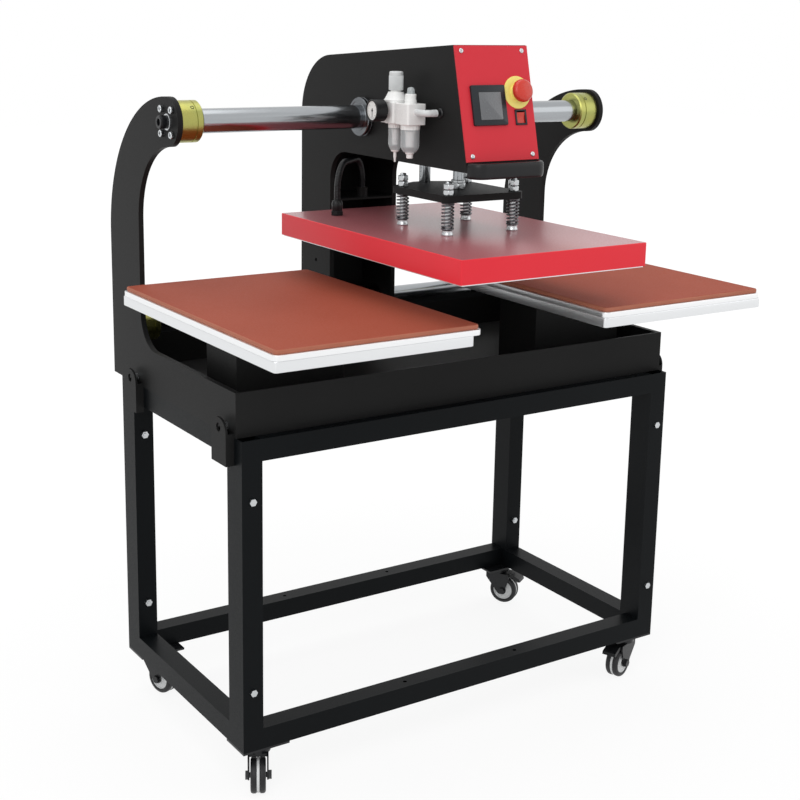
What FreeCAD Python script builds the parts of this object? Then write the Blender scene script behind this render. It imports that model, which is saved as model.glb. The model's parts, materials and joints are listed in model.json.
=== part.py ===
"""Twin-station pneumatic heat press on a wheeled stand.

Millimetres, +Z up, X along the two shafts, -Y towards the operator.
The origin is on the floor, under the middle of the whole machine.
"""
import FreeCAD, Part
import math
import os

import Sketcher

doc = FreeCAD.newDocument("HeatPress")
sheet = doc.addObject("Spreadsheet::Sheet", "Dimensions")

# ---------------------------------------------------------------------------
# Driving dimensions: name, value, meaning
# ---------------------------------------------------------------------------
DIMENSIONS = [
    # stand
    ("cart_length", 985.0, "stand and arms, outside, along X"),
    ("cart_front", -167.5, "front face of the stand"),
    ("cart_depth", 522.0, "stand, front to back"),
    ("leg_height", 584.0, "upright tubes"),
    ("leg_size", 40.0, "square tube of legs and rails"),
    ("side_post", 16.0, "thin uprights of the side frames, along Y"),
    ("tube_wall", 2.0, "wall of every stand tube"),
    ("shelf_hole_pitch", 268.0, "between the two shelf holes of one rail"),
    ("shelf_hole_radius", 4.0, "holes for a lower shelf"),
    ("bolt_low", 115.0, "lower frame bolts above the leg's foot"),
    ("bolt_high", 473.0, "upper frame bolts above the leg's foot"),
    ("bolt_radius", 4.0, "frame bolt shank"),
    ("bolt_head_radius", 7.0, "frame bolt head"),
    ("bolt_head_height", 4.5, "frame bolt head"),
    ("nut_radius", 7.5, "frame bolt nut"),
    ("nut_height", 7.0, "frame bolt nut"),
    # casters
    ("caster_height", 92.0, "floor to the foot of the leg"),
    ("caster_plate_x", 94.0, "mounting plate"),
    ("caster_plate_y", 68.0, "mounting plate"),
    ("caster_plate_thick", 4.0, "mounting plate"),
    ("caster_race_radius", 25.0, "swivel race under the plate"),
    ("caster_race_height", 5.0, "swivel race under the plate"),
    ("caster_trail", 20.0, "kingpin axis to wheel axle"),
    ("caster_pin_radius", 6.0, "kingpin"),
    ("crown_thick", 6.0, "fork crown sheet"),
    ("crown_inset", 4.0, "crown inside the race, each side"),
    ("crown_lift", 4.0, "crown above the tread"),
    ("crown_gap", 0.3, "fork disc under its race"),
    ("wheel_radius", 32.5, "tread"),
    ("wheel_width", 28.0, "tread"),
    ("hub_radius", 23.0, "rim of the wheel inside its tyre"),
    ("axle_radius", 5.0, "wheel axle bolt"),
    ("axle_head", 8.0, "axle bolt head and nut, corner radius"),
    ("axle_head_high", 4.5, "axle bolt head"),
    ("axle_nut_high", 5.5, "axle nut"),
    ("fork_foot", 9.0, "half width of a fork cheek at the axle"),
    ("fork_foot_round", 8.0, "round under the axle"),
    ("fork_shoulder_round", 5.0, "rounds at the crown"),
    ("fork_flank", 8.0, "straight flank above the axle"),
    ("hub_boss", 12.0, "raised boss of the hub"),
    ("hub_dish", 4.0, "hub face sunk behind the tyre"),
    ("hub_step", 2.0, "hub rim behind the tyre"),
    ("tyre_round", 4.0, "tyre's bevelled shoulder"),
    ("fork_plate", 3.0, "sheet of the fork's cheeks"),
    ("pedal_pin", 2.5, "brake pedal's pivot radius"),
    ("pedal_back", 6.0, "lever behind its pin"),
    ("pedal_neck", 14.0, "lever's straight part beyond its pin"),
    ("pedal_under", 3.5, "lever below its pin"),
    ("pedal_over", 4.5, "lever above its pin"),
    ("pedal_toe", 12.0, "toe beyond the tread"),
    ("pedal_drop", 12.0, "toe below the pin"),
    ("pedal_side", 0.8, "lever to fork cheek"),
    ("fork_gap", 2.0, "tyre to fork cheek"),
    ("heading_fl", 242.0, "degrees, which way the front left wheel trails"),
    ("heading_fr", 200.0, "degrees, front right wheel"),
    ("heading_rl", 287.0, "degrees, rear left wheel"),
    ("heading_rr", 303.0, "degrees, rear right wheel"),
    # base tray and side arms
    ("tray_front", -146.0, "front face of the tray"),
    ("tray_rear", 394.0, "rear face of tray and arms"),
    ("tray_height", 81.0, "tray and low front part of the arms"),
    ("tray_wall", 4.0, "tray sheet"),
    ("arm_thickness", 10.0, "side arm plate"),
    ("arm_column", 140.0, "upright part of the arm, along Y"),
    ("arm_head_radius", 44.4, "round end of the arm about the upper shaft"),
    ("arm_inner_radius", 148.0, "inside bend of the arm"),
    ("arm_foot_radius", 65.0, "bend where the arm meets the tray"),
    ("lug_width", 56.0, "bracket that holds the tray on the stand"),
    ("lug_depth", 16.0, "bracket, outwards"),
    ("lug_below", 50.0, "bracket below the deck"),
    ("lug_above", 33.0, "bracket above the deck"),
    ("lug_sheet", 4.0, "bracket steel"),
    ("lug_front_y", -111.0, "middle of the front brackets"),
    ("lug_rear_y", 277.0, "middle of the rear brackets"),
    ("lug_hole_z", 15.0, "bracket bolt above the deck"),
    ("lug_hole_radius", 8.0, "access hole in the bracket"),
    ("lug_bolt_radius", 5.0, "bracket bolt"),
    ("lug_head_high", 7.0, "lug bolt's head"),
    ("lug_nut_high", 9.0, "lug bolt's nut"),
    ("lug_grip", 14.0, "lug bolt beyond the arm"),
    ("lug_bolt_head", 7.5, "bracket bolt head radius"),
    # shafts
    ("shaft_radius", 22.5, "both chromed shafts"),
    ("upper_shaft_y", 113.7, "upper shaft axis"),
    ("upper_shaft_rise", 521.0, "upper shaft axis above the deck"),
    ("lower_shaft_y", 303.6, "lower shaft axis"),
    ("lower_shaft_rise", 113.0, "lower shaft axis above the deck"),
    ("flange_radius", 38.0, "upper shaft clamp flange"),
    ("flange_length", 45.0, "upper shaft clamp flange"),
    ("low_flange_radius", 34.0, "lower shaft clamp flange"),
    ("low_flange_length", 40.0, "lower shaft clamp flange"),
    ("flange_screw_pitch", 44.0, "square of four flange screws"),
    ("flange_screw_radius", 4.0, "flange screw shank"),
    ("flange_screw_head", 6.5, "flange screw head radius"),
    ("flange_screw_deep", 26.0, "flange screw shank length"),
    ("shaft_bolt_radius", 8.0, "bolt in each end of the upper shaft"),
    ("shaft_bolt_head", 12.0, "its head radius"),
    ("shaft_bolt_high", 15.0, "its head height"),
    ("shaft_bolt_deep", 45.0, "its shank length"),
    ("washer_radius", 15.0, "its washer"),
    ("washer_height", 3.0, "its washer"),
    # lower platens
    ("platen_x", 337.0, "middle of each lower platen from the centre"),
    ("platen_width", 400.0, "lower platen along X"),
    ("platen_depth", 600.0, "lower platen along Y"),
    ("platen_front", -368.5, "front edge of the lower platens"),
    ("platen_rise", 207.0, "top of the silicone pad above the deck"),
    ("pad_thick", 8.0, "silicone foam pad"),
    ("plate_thick", 10.0, "machined aluminium plate"),
    ("base_thick", 18.0, "cast aluminium base"),
    ("base_inset", 17.0, "left base stops short of its plate"),
    ("pad_inset", 4.0, "pad edge inside the plate edge"),
    ("pad_corner", 12.0, "corner radius of pad and plate"),
    ("base_corner", 6.0, "corner radius of the base"),
    ("pedestal_x", 220.0, "pedestal box along X"),
    ("pedestal_y", 120.0, "pedestal box along Y"),
    ("pedestal_wall", 6.0, "pedestal box wall"),
    ("pedestal_cap", 10.0, "flange plates of the pedestal"),
    ("pedestal_lip", 20.0, "flange plate beyond the box"),
    # heat platen
    ("heat_width", 409.0, "red cover along X"),
    ("heat_front", -394.0, "front face of the red cover"),
    ("heat_depth", 615.5, "red cover along Y"),
    ("heat_height", 45.0, "cover and heating plate together"),
    ("press_gap", 74.4, "heating plate to pad, press open"),
    ("cover_sheet", 2.0, "steel of the cover"),
    ("cover_lift", 2.5, "heating plate below the cover's edge"),
    ("cover_corner", 4.0, "vertical corners of the cover"),
    ("heater_gap", 2.0, "heating plate to the cover's inside"),
    ("heater_thick", 24.0, "cast heating plate"),
    ("heater_air", 0.6, "posts' feet to heating plate"),
    # press mechanism
    ("press_y", -92.8, "middle of the post pattern and the air cylinder"),
    ("post_pitch", 148.0, "square of four posts"),
    ("post_radius", 6.0, "post"),
    ("post_clear", 0.4, "post in its spider hole, radial"),
    ("collar_radius", 10.0, "post foot collar"),
    ("boss_radius", 16.0, "boss of the heating plate under a post"),
    ("collar_height", 10.6, "post foot collar"),
    ("post_nut_radius", 10.5, "two nuts on each post"),
    ("post_nut_height", 10.0, "each nut"),
    ("nut_step", 0.6, "between the two nuts"),
    ("post_over", 4.0, "post end above its nuts"),
    ("spring_radius", 10.5, "spring, to the middle of its wire"),
    ("spring_wire", 1.5, "wire radius"),
    ("spring_pitch", 6.4, "spring pitch"),
    ("spider_rise", 387.0, "underside of the spider plate above the deck"),
    ("spider_thick", 13.0, "spider plate"),
    ("spider_margin", 15.0, "spider plate beyond the posts"),
    ("spider_corner", 12.0, "corner radius of the spider plate"),
    ("rod_radius", 10.0, "piston rod"),
    ("rod_nut_radius", 15.0, "locknut of the piston rod"),
    ("rod_nut_height", 12.0, "locknut of the piston rod"),
    ("guide_y", 17.6, "guide rod axis"),
    ("guide_radius", 11.0, "guide rod"),
    ("guide_collar", 11.75, "clamp bush of the guide rod"),
    ("guide_collar_low", 17.0, "clamp bush below the spider plate"),
    ("guide_reach", 52.0, "guide rod above the mounting plate"),
    ("run_clear", 0.08, "radial running clearance of sliding rods"),
    ("hole_clear", 0.2, "hole of a bolt or screw, beyond its radius"),
    ("fit_clear", 0.1, "closely fitted hole or end"),
    ("clamp_clear", 0.05, "shaft in its clamp flange"),
    # carriage head
    ("cheek_half", 80.3, "carriage centre to a cheek's outer face"),
    ("cheek_thick", 10.0, "cheek plate"),
    ("column_rear", 359.0, "rear edge of the carriage"),
    ("column_front", 240.6, "front edge of the carriage column"),
    ("column_foot", 71.0, "bottom of the column above the deck"),
    ("head_floor", 446.0, "underside of the head above the deck"),
    ("head_top", 666.0, "top front edge of the head above the deck"),
    ("head_front", -232.0, "bottom front edge of the head"),
    ("head_rake", 53.0, "top front edge behind the bottom front edge"),
    ("top_fall", 40.0, "top edge falls this much to the rear"),
    ("throat_radius", 58.0, "bend between column and head"),
    ("back_radius", 120.0, "rounded top rear corner"),
    ("cover_steel", 2.0, "rear and top covers"),
    ("cover_split", 430.0, "joint of rear and top covers above the deck"),
    ("side_hole_y", 297.0, "small hole low in each cheek"),
    ("side_hole_rise", 211.0, "small hole above the deck"),
    ("side_hole_radius", 4.0, "small hole"),
    ("housing_radius", 31.0, "bearing housing tube"),
    ("housing_flange", 37.5, "bearing housing flange"),
    ("housing_proud", 13.0, "bearing flange outside the cheek"),
    ("housing_seat", 0.2, "housing tube in its cheek hole"),
    ("mount_plate", 12.0, "plate under the air cylinder"),
    ("mount_front_lip", 18.0, "front lip of that plate"),
    ("mount_bend", 8.0, "root of the front lip"),
    ("mount_rear", 66.0, "rear edge of that plate"),
    # air cylinder
    ("bore_radius", 31.5, "air cylinder bore"),
    ("barrel_radius", 35.0, "air cylinder barrel"),
    ("cylinder_length", 140.0, "over both end caps"),
    ("cap_height", 18.0, "end cap"),
    ("cap_square", 74.0, "end cap"),
    ("piston_height", 18.0, "piston"),
    ("piston_top", 2.0, "piston to upper cap, press open"),
    # control panel
    ("panel_height", 206.0, "red panel along its slope"),
    ("panel_thick", 3.0, "red panel"),
    ("panel_start", 19.0, "panel's lower edge above the head's, on the slope"),
    ("panel_screw_x", 67.0, "panel screws from the middle"),
    ("panel_screw_edge", 9.5, "panel screws from the upper and lower edge"),
    ("panel_screw_radius", 4.6, "panel screw head"),
    ("panel_screw_high", 2.6, "screw head"),
    ("panel_screw_taper", 1.6, "screw head narrower on top"),
    ("panel_screw_shank", 2.5, "screw shank radius"),
    ("panel_screw_deep", 8.0, "shank behind the panel"),
    ("screen_left", -57.5, "touch screen bezel"),
    ("screen_width", 74.5, "touch screen bezel"),
    ("screen_low", 63.0, "touch screen bezel above the panel's lower edge"),
    ("screen_tall", 72.0, "touch screen bezel"),
    ("screen_proud", 5.0, "touch screen bezel"),
    ("screen_back", 26.0, "touch screen housing behind the panel"),
    ("screen_rim", 4.0, "housing smaller than the bezel"),
    ("display_left", 15.0, "display inside the bezel"),
    ("display_low", 10.5, "display inside the bezel"),
    ("display_width", 48.5, "display"),
    ("display_tall", 49.0, "display"),
    ("display_deep", 0.8, "display below the bezel's face"),
    ("estop_x", 46.5, "emergency stop"),
    ("estop_y", 121.5, "emergency stop above the panel's lower edge"),
    ("estop_ring", 29.5, "yellow ring radius"),
    ("estop_ring_thick", 1.6, "yellow ring"),
    ("estop_collar", 15.0, "collar radius on the ring"),
    ("estop_collar_high", 6.0, "collar on the ring"),
    ("estop_block", 44.0, "contact block behind the panel"),
    ("estop_block_half", 15.0, "contact block, half its width"),
    ("estop_block_trim", 6.0, "contact block shorter, each end"),
    ("estop_neck_wall", 1.8, "bush through the panel"),
    ("estop_deep", 14.0, "bore behind the panel"),
    ("estop_tail", 6.0, "stem behind the panel"),
    ("estop_dome", 7.0, "height of the cap's dome"),
    ("estop_dome_in", 9.0, "dome's flatter middle from the rim"),
    ("estop_dome_top", 0.6, "dome's flatter middle below its crown"),
    ("estop_stem", 8.0, "button stem radius"),
    ("estop_cap", 20.5, "mushroom radius"),
    ("estop_cap_low", 15.0, "mushroom's lower face above the panel"),
    ("estop_cap_high", 30.0, "mushroom's crown above the panel"),
    ("switch_x", 49.0, "middle of the power switch"),
    ("switch_y", 76.5, "middle of the power switch"),
    ("switch_width", 25.0, "bezel"),
    ("switch_tall", 28.0, "bezel"),
    ("switch_proud", 2.5, "bezel"),
    ("switch_rim", 2.2, "bezel rim"),
    ("switch_back", 18.0, "switch body behind the panel"),
    ("rocker_tilt", 9.0, "degrees, rocker at rest"),
    ("rocker_gap", 0.6, "rocker in its bezel"),
    ("rocker_end_gap", 1.1, "rocker's ends in their well, level"),
    ("rocker_dish", 1.0, "middle below the ends"),
    ("rocker_end", 1.2, "ends below the crown"),
    ("rocker_under", 2.0, "key below its pivot"),
    ("rocker_taper", 1.5, "key shorter at its foot"),
    ("rocker_play", 0.5, "pin shorter than its hole, each end"),
    ("switch_wall", 1.0, "wall of the switch body"),
    ("switch_well", 9.0, "well behind the panel's face"),
    ("rocker_sink", 1.0, "pivot below the panel's back face"),
    ("rocker_high", 6.0, "rocker's crown above the panel"),
    ("rocker_pin", 2.0, "pivot radius"),
    # front handle
    ("handle_half", 81.0, "half its length"),
    ("handle_reach", 28.0, "out from the head"),
    ("handle_thick", 10.0, "bar, front to back"),
    ("handle_height", 28.0, "bar, top to bottom"),
    ("handle_drop", 10.0, "bar below the head's underside"),
    ("handle_bend", 24.0, "outer corner radius"),
    # air preparation unit
    ("frl_x", -112.0, "axis of both bowls"),
    ("regulator_y", -47.0, "regulator axis"),
    ("oiler_y", -96.0, "lubricator axis"),
    ("frl_body", 40.0, "block, along X"),
    ("frl_module", 45.0, "each block, along Y"),
    ("joint_trim", 6.0, "link between the modules inside their faces"),
    ("bracket_trim", 8.0, "wall bracket inside their faces"),
    ("bonnet_taper", 6.0, "bonnet narrower on top"),
    ("neck_up", 20.0, "neck inside the knob"),
    ("boss_proud", 4.0, "inlet boss"),
    ("bowl_wall", 1.6, "clear wall"),
    ("bowl_narrow", 0.65, "bowl's foot as a share of its radius"),
    ("frl_low", 522.0, "underside of the blocks above the deck"),
    ("frl_high", 560.0, "top of the blocks above the deck"),
    ("bonnet_radius", 22.0, "regulator bonnet"),
    ("bonnet_height", 18.0, "regulator bonnet"),
    ("bonnet_neck", 10.0, "regulator neck radius"),
    ("knob_radius", 13.5, "regulator knob"),
    ("knob_low", 581.0, "knob's lower edge above the deck"),
    ("knob_height", 34.0, "regulator knob"),
    ("knob_cap", 12.0, "solid top of the knob"),
    ("knob_round", 2.0, "bevel of the knob's rim"),
    ("oiler_neck", 11.0, "lubricator neck radius"),
    ("oiler_neck_height", 17.0, "lubricator neck"),
    ("oiler_dome", 7.0, "lubricator sight dome radius"),
    ("oiler_dome_height", 12.0, "lubricator sight dome"),
    ("filter_bowl_radius", 13.0, "filter bowl under the regulator"),
    ("oiler_bowl_radius", 17.5, "lubricator bowl"),
    ("bowl_height", 50.0, "both bowls"),
    ("bowl_taper", 9.0, "tapered bottom of the bowls"),
    ("drain_radius", 3.0, "filter drain"),
    ("drain_length", 22.0, "filter drain"),
    ("plug_radius", 8.0, "lubricator filler plug"),
    ("plug_length", 11.0, "lubricator filler plug"),
    ("gauge_radius", 20.0, "pressure gauge case"),
    ("gauge_out", 53.0, "gauge face from the regulator axis"),
    ("gauge_deep", 25.0, "gauge case"),
    ("gauge_rise", 545.0, "gauge axis above the deck"),
    ("gauge_face", 2.5, "dial behind the rim"),
    ("gauge_rim", 2.5, "rim of the gauge"),
    ("gauge_bevel", 0.8, "bevel of the rim"),
    ("gauge_stem", 6.0, "stem into the regulator"),
    ("needle_hub", 1.0, "pointer's hub radius"),
    ("needle_sink", 6.0, "hub's shaft into the dial"),
    ("needle_gap", 0.3, "pointer above the dial"),
    ("needle_half", 0.6, "half the pointer's width"),
    ("needle_tail", 4.0, "pointer behind its hub"),
    ("needle_cap", 0.4, "hub above the pointer"),
    ("needle_length", 13.0, "gauge pointer"),
    ("needle_thick", 0.6, "gauge pointer"),
    ("port_radius", 5.9, "air inlet, tapped G1/4"),
    ("port_depth", 12.0, "air inlet"),
    ("port_boss", 11.0, "air inlet boss radius"),
    ("outlet_y", -146.0, "outlet tube axis"),
    ("outlet_rise", 545.0, "outlet tube above the deck"),
    ("outlet_radius", 6.5, "outlet elbow"),
    ("outlet_reach", 22.0, "elbow towards the cheek"),
    ("hose_inside", 30.0, "hose inside the cheek"),
    ("grommet_proud", 4.0, "grommet outside the cheek"),
    ("hose_radius", 4.0, "outlet tube"),
    ("grommet_radius", 9.0, "grommet in the cheek"),
    # conduit to the heat platen
    ("conduit_radius", 6.5, "flexible conduit"),
    ("gland_radius", 11.0, "cable glands"),
    ("gland_height", 30.0, "gland on the heat platen"),
    ("gland_nut_high", 12.0, "gland's hexagon"),
    ("gland_nut_over", 2.0, "hexagon beyond the gland's body"),
    ("gland_x", -120.0, "gland on the heat platen"),
    ("gland_y", 146.0, "gland on the heat platen"),
    ("shelf_x", 6.0, "gland on the carriage shelf"),
    ("shelf_y", 256.0, "gland on the carriage shelf"),
    ("shelf_rise", 340.0, "underside of the carriage shelf above the deck"),
    ("shelf_thick", 4.0, "carriage shelf"),
    ("shelf_gland_height", 20.0, "gland on the carriage shelf"),
    ("arch_rise", 427.0, "top of the conduit's axis above the deck"),
    ("arch_radius", 52.0, "conduit bends"),
]


class Size:
    """A length tied to the sheet: its value, and the formula that gives it."""

    def __init__(self, value, text):
        self.value = value
        self.text = text

    def __add__(self, other):
        return combine(self, "+", other)

    def __radd__(self, other):
        return combine(other, "+", self)

    def __sub__(self, other):
        return combine(self, "-", other)

    def __rsub__(self, other):
        return combine(other, "-", self)

    def __mul__(self, other):
        return combine(self, "*", other)

    def __rmul__(self, other):
        return combine(other, "*", self)

    def __truediv__(self, other):
        return combine(self, "/", other)

    def __neg__(self):
        return combine(0.0, "-", self)


def as_size(number):
    """A plain number as a Size, a Size unchanged."""
    if isinstance(number, Size):
        return number
    return Size(float(number), f"({float(number)!r})")


def combine(first, sign, second):
    """The Size that one operation on two others gives."""
    first = as_size(first)
    second = as_size(second)
    results = {
        "+": first.value + second.value,
        "-": first.value - second.value,
        "*": first.value * second.value,
        "/": first.value / second.value if second.value else 0.0,
    }
    return Size(results[sign], f"({first.text} {sign} {second.text})")


def arctangent(rise, run):
    """The angle of a slope, in degrees."""
    angle = math.degrees(math.atan2(rise.value, run.value))
    return Size(angle, f"atan2({rise.text}; {run.text}) / 1 deg")


def hypotenuse(first, second):
    """The length of a right triangle's long side."""
    length = math.hypot(first.value, second.value)
    return Size(length, f"sqrt({first.text} ^ 2 + {second.text} ^ 2)")


class Sizes:
    """Every driving dimension, by name."""


d = Sizes()
for row, (alias, number, meaning) in enumerate(DIMENSIONS, start=1):
    sheet.set(f"A{row}", alias)
    sheet.set(f"B{row}", str(number))
    sheet.set(f"C{row}", meaning)
    sheet.setAlias(f"B{row}", alias)
    setattr(d, alias, Size(number, f"Dimensions.{alias}"))
doc.recompute()

# ---------------------------------------------------------------------------
# Construction helpers
# ---------------------------------------------------------------------------
AXIS_TURN = {
    "Z": FreeCAD.Rotation(),
    "-Z": FreeCAD.Rotation(FreeCAD.Vector(1, 0, 0), 180),
    "X": FreeCAD.Rotation(FreeCAD.Vector(0, 1, 0), 90),
    "-X": FreeCAD.Rotation(FreeCAD.Vector(0, 1, 0), -90),
    "Y": FreeCAD.Rotation(FreeCAD.Vector(1, 0, 0), -90),
    "-Y": FreeCAD.Rotation(FreeCAD.Vector(1, 0, 0), 90),
}
CLOSE = 1e-4
nodes = []


def bind(thing, path, size):
    """Ties one property of an object to the sheet."""
    thing.setExpression(path, as_size(size).text)


def place(thing, x, y, z, turn=None):
    """Puts an object at a bound position, turned as given."""
    thing.Placement = FreeCAD.Placement(FreeCAD.Vector(), turn or FreeCAD.Rotation())
    bind(thing, "Placement.Base.x", x)
    bind(thing, "Placement.Base.y", y)
    bind(thing, "Placement.Base.z", z)
    return thing


def block(x, y, z):
    """A box between low and high bounds on each axis."""
    box = doc.addObject("Part::Box", "Block")
    for path, (low, high) in zip(("Length", "Width", "Height"), (x, y, z)):
        bind(box, path, high - low)
    return place(box, x[0], y[0], z[0])


def rod(axis, at, length, radius):
    """A cylinder that starts at a point and runs along an axis."""
    cylinder = doc.addObject("Part::Cylinder", "Rod")
    bind(cylinder, "Height", length)
    bind(cylinder, "Radius", radius)
    return place(cylinder, *at, AXIS_TURN[axis])


def cone(axis, at, length, radius, far_radius):
    """A cone that starts at a point and runs along an axis."""
    taper = doc.addObject("Part::Cone", "Cone")
    bind(taper, "Height", length)
    bind(taper, "Radius1", radius)
    bind(taper, "Radius2", far_radius)
    return place(taper, *at, AXIS_TURN[axis])


def prism(axis, at, length, radius):
    """A hexagonal nut or bolt head, radius to its corners."""
    hexagon = doc.addObject("Part::Prism", "Hexagon")
    hexagon.Polygon = 6
    bind(hexagon, "Circumradius", radius)
    bind(hexagon, "Height", length)
    return place(hexagon, *at, AXIS_TURN[axis])


def fuse(*parts):
    """Parts joined into one solid."""
    joined = doc.addObject("Part::MultiFuse", "Joined")
    joined.Shapes = list(parts)
    return joined


def group(*parts):
    """Separate solids kept side by side."""
    together = doc.addObject("Part::Compound", "Group")
    together.Links = list(parts)
    return together


def cut(base, *tools):
    """A base with tools taken out of it."""
    result = doc.addObject("Part::Cut", "Cut")
    result.Base = base
    result.Tool = tools[0] if len(tools) == 1 else group(*tools)
    return result


def node(label, thing):
    """Marks an object as a finished sub-part."""
    thing.Label = label
    nodes.append(thing)
    return thing


def corner_constraint(sketch, line, kind, size):
    """Holds one corner of an outline at a bound distance from an axis."""
    if isinstance(size, Size):
        index = sketch.addConstraint(Sketcher.Constraint(kind, -1, 1, line, 1, size.value))
        sketch.setExpression(f"Constraints[{index}]", size.text)
    elif size == 0:
        axis = -2 if kind == "DistanceX" else -1
        sketch.addConstraint(Sketcher.Constraint("PointOnObject", line, 1, axis))
    else:
        sketch.addConstraint(Sketcher.Constraint(kind, -1, 1, line, 1, float(size)))


def outline(body, role, corners):
    """A closed sketch of straight lines through bound corners."""
    sketch = body.newObject("Sketcher::SketchObject", "Outline")
    for plane in body.Origin.OriginFeatures:
        if getattr(plane, "Role", "") == role:
            sketch.AttachmentSupport = [(plane, "")]
    sketch.MapMode = "FlatFace"
    points = [
        FreeCAD.Vector(as_size(u).value, as_size(v).value, 0) for u, v in corners
    ]
    count = len(points)
    for index in range(count):
        sketch.addGeometry(Part.LineSegment(points[index], points[(index + 1) % count]))
    for index in range(count):
        sketch.addConstraint(
            Sketcher.Constraint("Coincident", index, 2, (index + 1) % count, 1)
        )
    for index, (u, v) in enumerate(corners):
        corner_constraint(sketch, index, "DistanceX", u)
        corner_constraint(sketch, index, "DistanceY", v)
    return sketch


def corner_edges(shape, sketch, indexes):
    """Names of the edges that rise from the given corners of an outline."""
    back = sketch.Placement.inverse()
    corners = [sketch.Geometry[index].StartPoint for index in indexes]
    names = []
    for number, edge in enumerate(shape.Edges, start=1):
        ends = [back.multVec(vertex.Point) for vertex in edge.Vertexes]
        for corner in corners:
            if len(ends) == 2 and all(
                math.hypot(end.x - corner.x, end.y - corner.y) < CLOSE for end in ends
            ):
                names.append(f"Edge{number}")
    return names


def plate(role, corners, thickness, rounds=()):
    """A plate of bound outline; rounds lists (radius, corner numbers)."""
    body = doc.addObject("PartDesign::Body", "Plate")
    sketch = outline(body, role, corners)
    last = body.newObject("PartDesign::Pad", "Pad")
    last.Profile = sketch
    bind(last, "Length", thickness)
    doc.recompute()
    for radius, indexes in rounds:
        edges = corner_edges(last.Shape, sketch, indexes)
        bend = body.newObject("PartDesign::Fillet", "Bend")
        bend.Base = (last, edges)
        bind(bend, "Radius", radius)
        doc.recompute()
        last = bend
    body.Tip = last
    return body


def turned(profile, x, y, z, axis="Z"):
    """A turned piece: profile lists (radius, height along the axis)."""
    body = doc.addObject("PartDesign::Body", "Turned")
    sketch = outline(body, "XZ_Plane", profile)
    revolution = body.newObject("PartDesign::Revolution", "Revolution")
    revolution.Profile = sketch
    revolution.ReferenceAxis = (sketch, ["V_Axis"])
    revolution.Angle = 360
    body.Tip = revolution
    return place(body, x, y, z, AXIS_TURN[axis])


def tube(axis, x, y, z):
    """A square tube between bounds, open at both ends along its axis."""
    outer = block(x, y, z)
    inner = []
    for name, (low, high) in zip("XYZ", (x, y, z)):
        wall = 0.0 - d.tube_wall if name == axis else d.tube_wall
        inner.append((low + wall, high - wall))
    return cut(outer, block(*inner))


# ---------------------------------------------------------------------------
# Levels and faces that several pieces share
# ---------------------------------------------------------------------------
half_length = d.cart_length / 2
cart_rear = d.cart_front + d.cart_depth
deck = d.caster_height + d.leg_height
tray_top = deck + d.tray_height
arm_inside = half_length - d.arm_thickness
upper_shaft_z = deck + d.upper_shaft_rise
lower_shaft_z = deck + d.lower_shaft_rise
pad_top = deck + d.platen_rise
plate_top = pad_top - d.pad_thick
base_top = plate_top - d.plate_thick
base_bottom = base_top - d.base_thick
platen_rear = d.platen_front + d.platen_depth
heater_bottom = pad_top + d.press_gap
heat_top = heater_bottom + d.heat_height
heat_rear = d.heat_front + d.heat_depth
spider_bottom = deck + d.spider_rise
spider_top = spider_bottom + d.spider_thick
head_floor = deck + d.head_floor
head_top = deck + d.head_top
mount_top = head_floor + d.mount_plate
cheek_inside = d.cheek_half - d.cheek_thick
column_foot = deck + d.column_foot
SIDES = (("left", -1.0), ("right", 1.0))


def spans(side, near, far):
    """Low and high X of a piece between two distances from the centre."""
    return (side * far, side * near) if side < 0 else (side * near, side * far)


# ---------------------------------------------------------------------------
# Stand
# ---------------------------------------------------------------------------
leg_span = (half_length - d.leg_size, half_length)
leg_z = (d.caster_height, deck)
rail_levels = (
    (d.caster_height, d.caster_height + d.leg_size),
    (deck - d.leg_size, deck),
)


def end_frame(low_y, high_y):
    """Front or rear frame: two open-topped legs and two rails."""
    tubes = []
    for _, side in SIDES:
        tubes.append(tube("Z", spans(side, *leg_span), (low_y, high_y), leg_z))
    for number, level in enumerate(rail_levels):
        rail = tube("X", (-leg_span[0], leg_span[0]), (low_y, high_y), level)
        if number == 0:
            holes = []
            for _, side in SIDES:
                at = (side * d.shelf_hole_pitch / 2, (low_y + high_y) / 2, level[0] - 1.0)
                holes.append(rod("Z", at, d.leg_size + 2.0, d.shelf_hole_radius))
            rail = cut(rail, *holes)
        tubes.append(rail)
    return group(*tubes)


def side_frame(side):
    """Side frame: two thin uprights against the legs and two rails."""
    x = spans(side, *leg_span)
    front = d.cart_front + d.leg_size
    rear = cart_rear - d.leg_size
    tubes = [
        tube("Z", x, (front, front + d.side_post), leg_z),
        tube("Z", x, (rear - d.side_post, rear), leg_z),
    ]
    for level in rail_levels:
        tubes.append(tube("Y", x, (front + d.side_post, rear - d.side_post), level))
    return group(*tubes)


def frame_bolt_holes():
    """Clearance holes of the eight frame bolts."""
    holes = []
    for _, side in SIDES:
        x = side * (half_length - d.leg_size / 2)
        for height in (d.bolt_low, d.bolt_high):
            z = d.caster_height + height
            start = d.cart_front - 1.0
            holes.append(rod("Y", (x, start, z), d.cart_depth + 2.0, d.bolt_radius + d.hole_clear))
    return group(*holes)


node("cart_front_frame", cut(end_frame(d.cart_front, d.cart_front + d.leg_size),
                             frame_bolt_holes()))
node("cart_rear_frame", cut(end_frame(cart_rear - d.leg_size, cart_rear),
                            frame_bolt_holes()))
for side_name, side in SIDES:
    node(f"cart_side_frame_{side_name}", cut(side_frame(side), frame_bolt_holes()))


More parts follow.
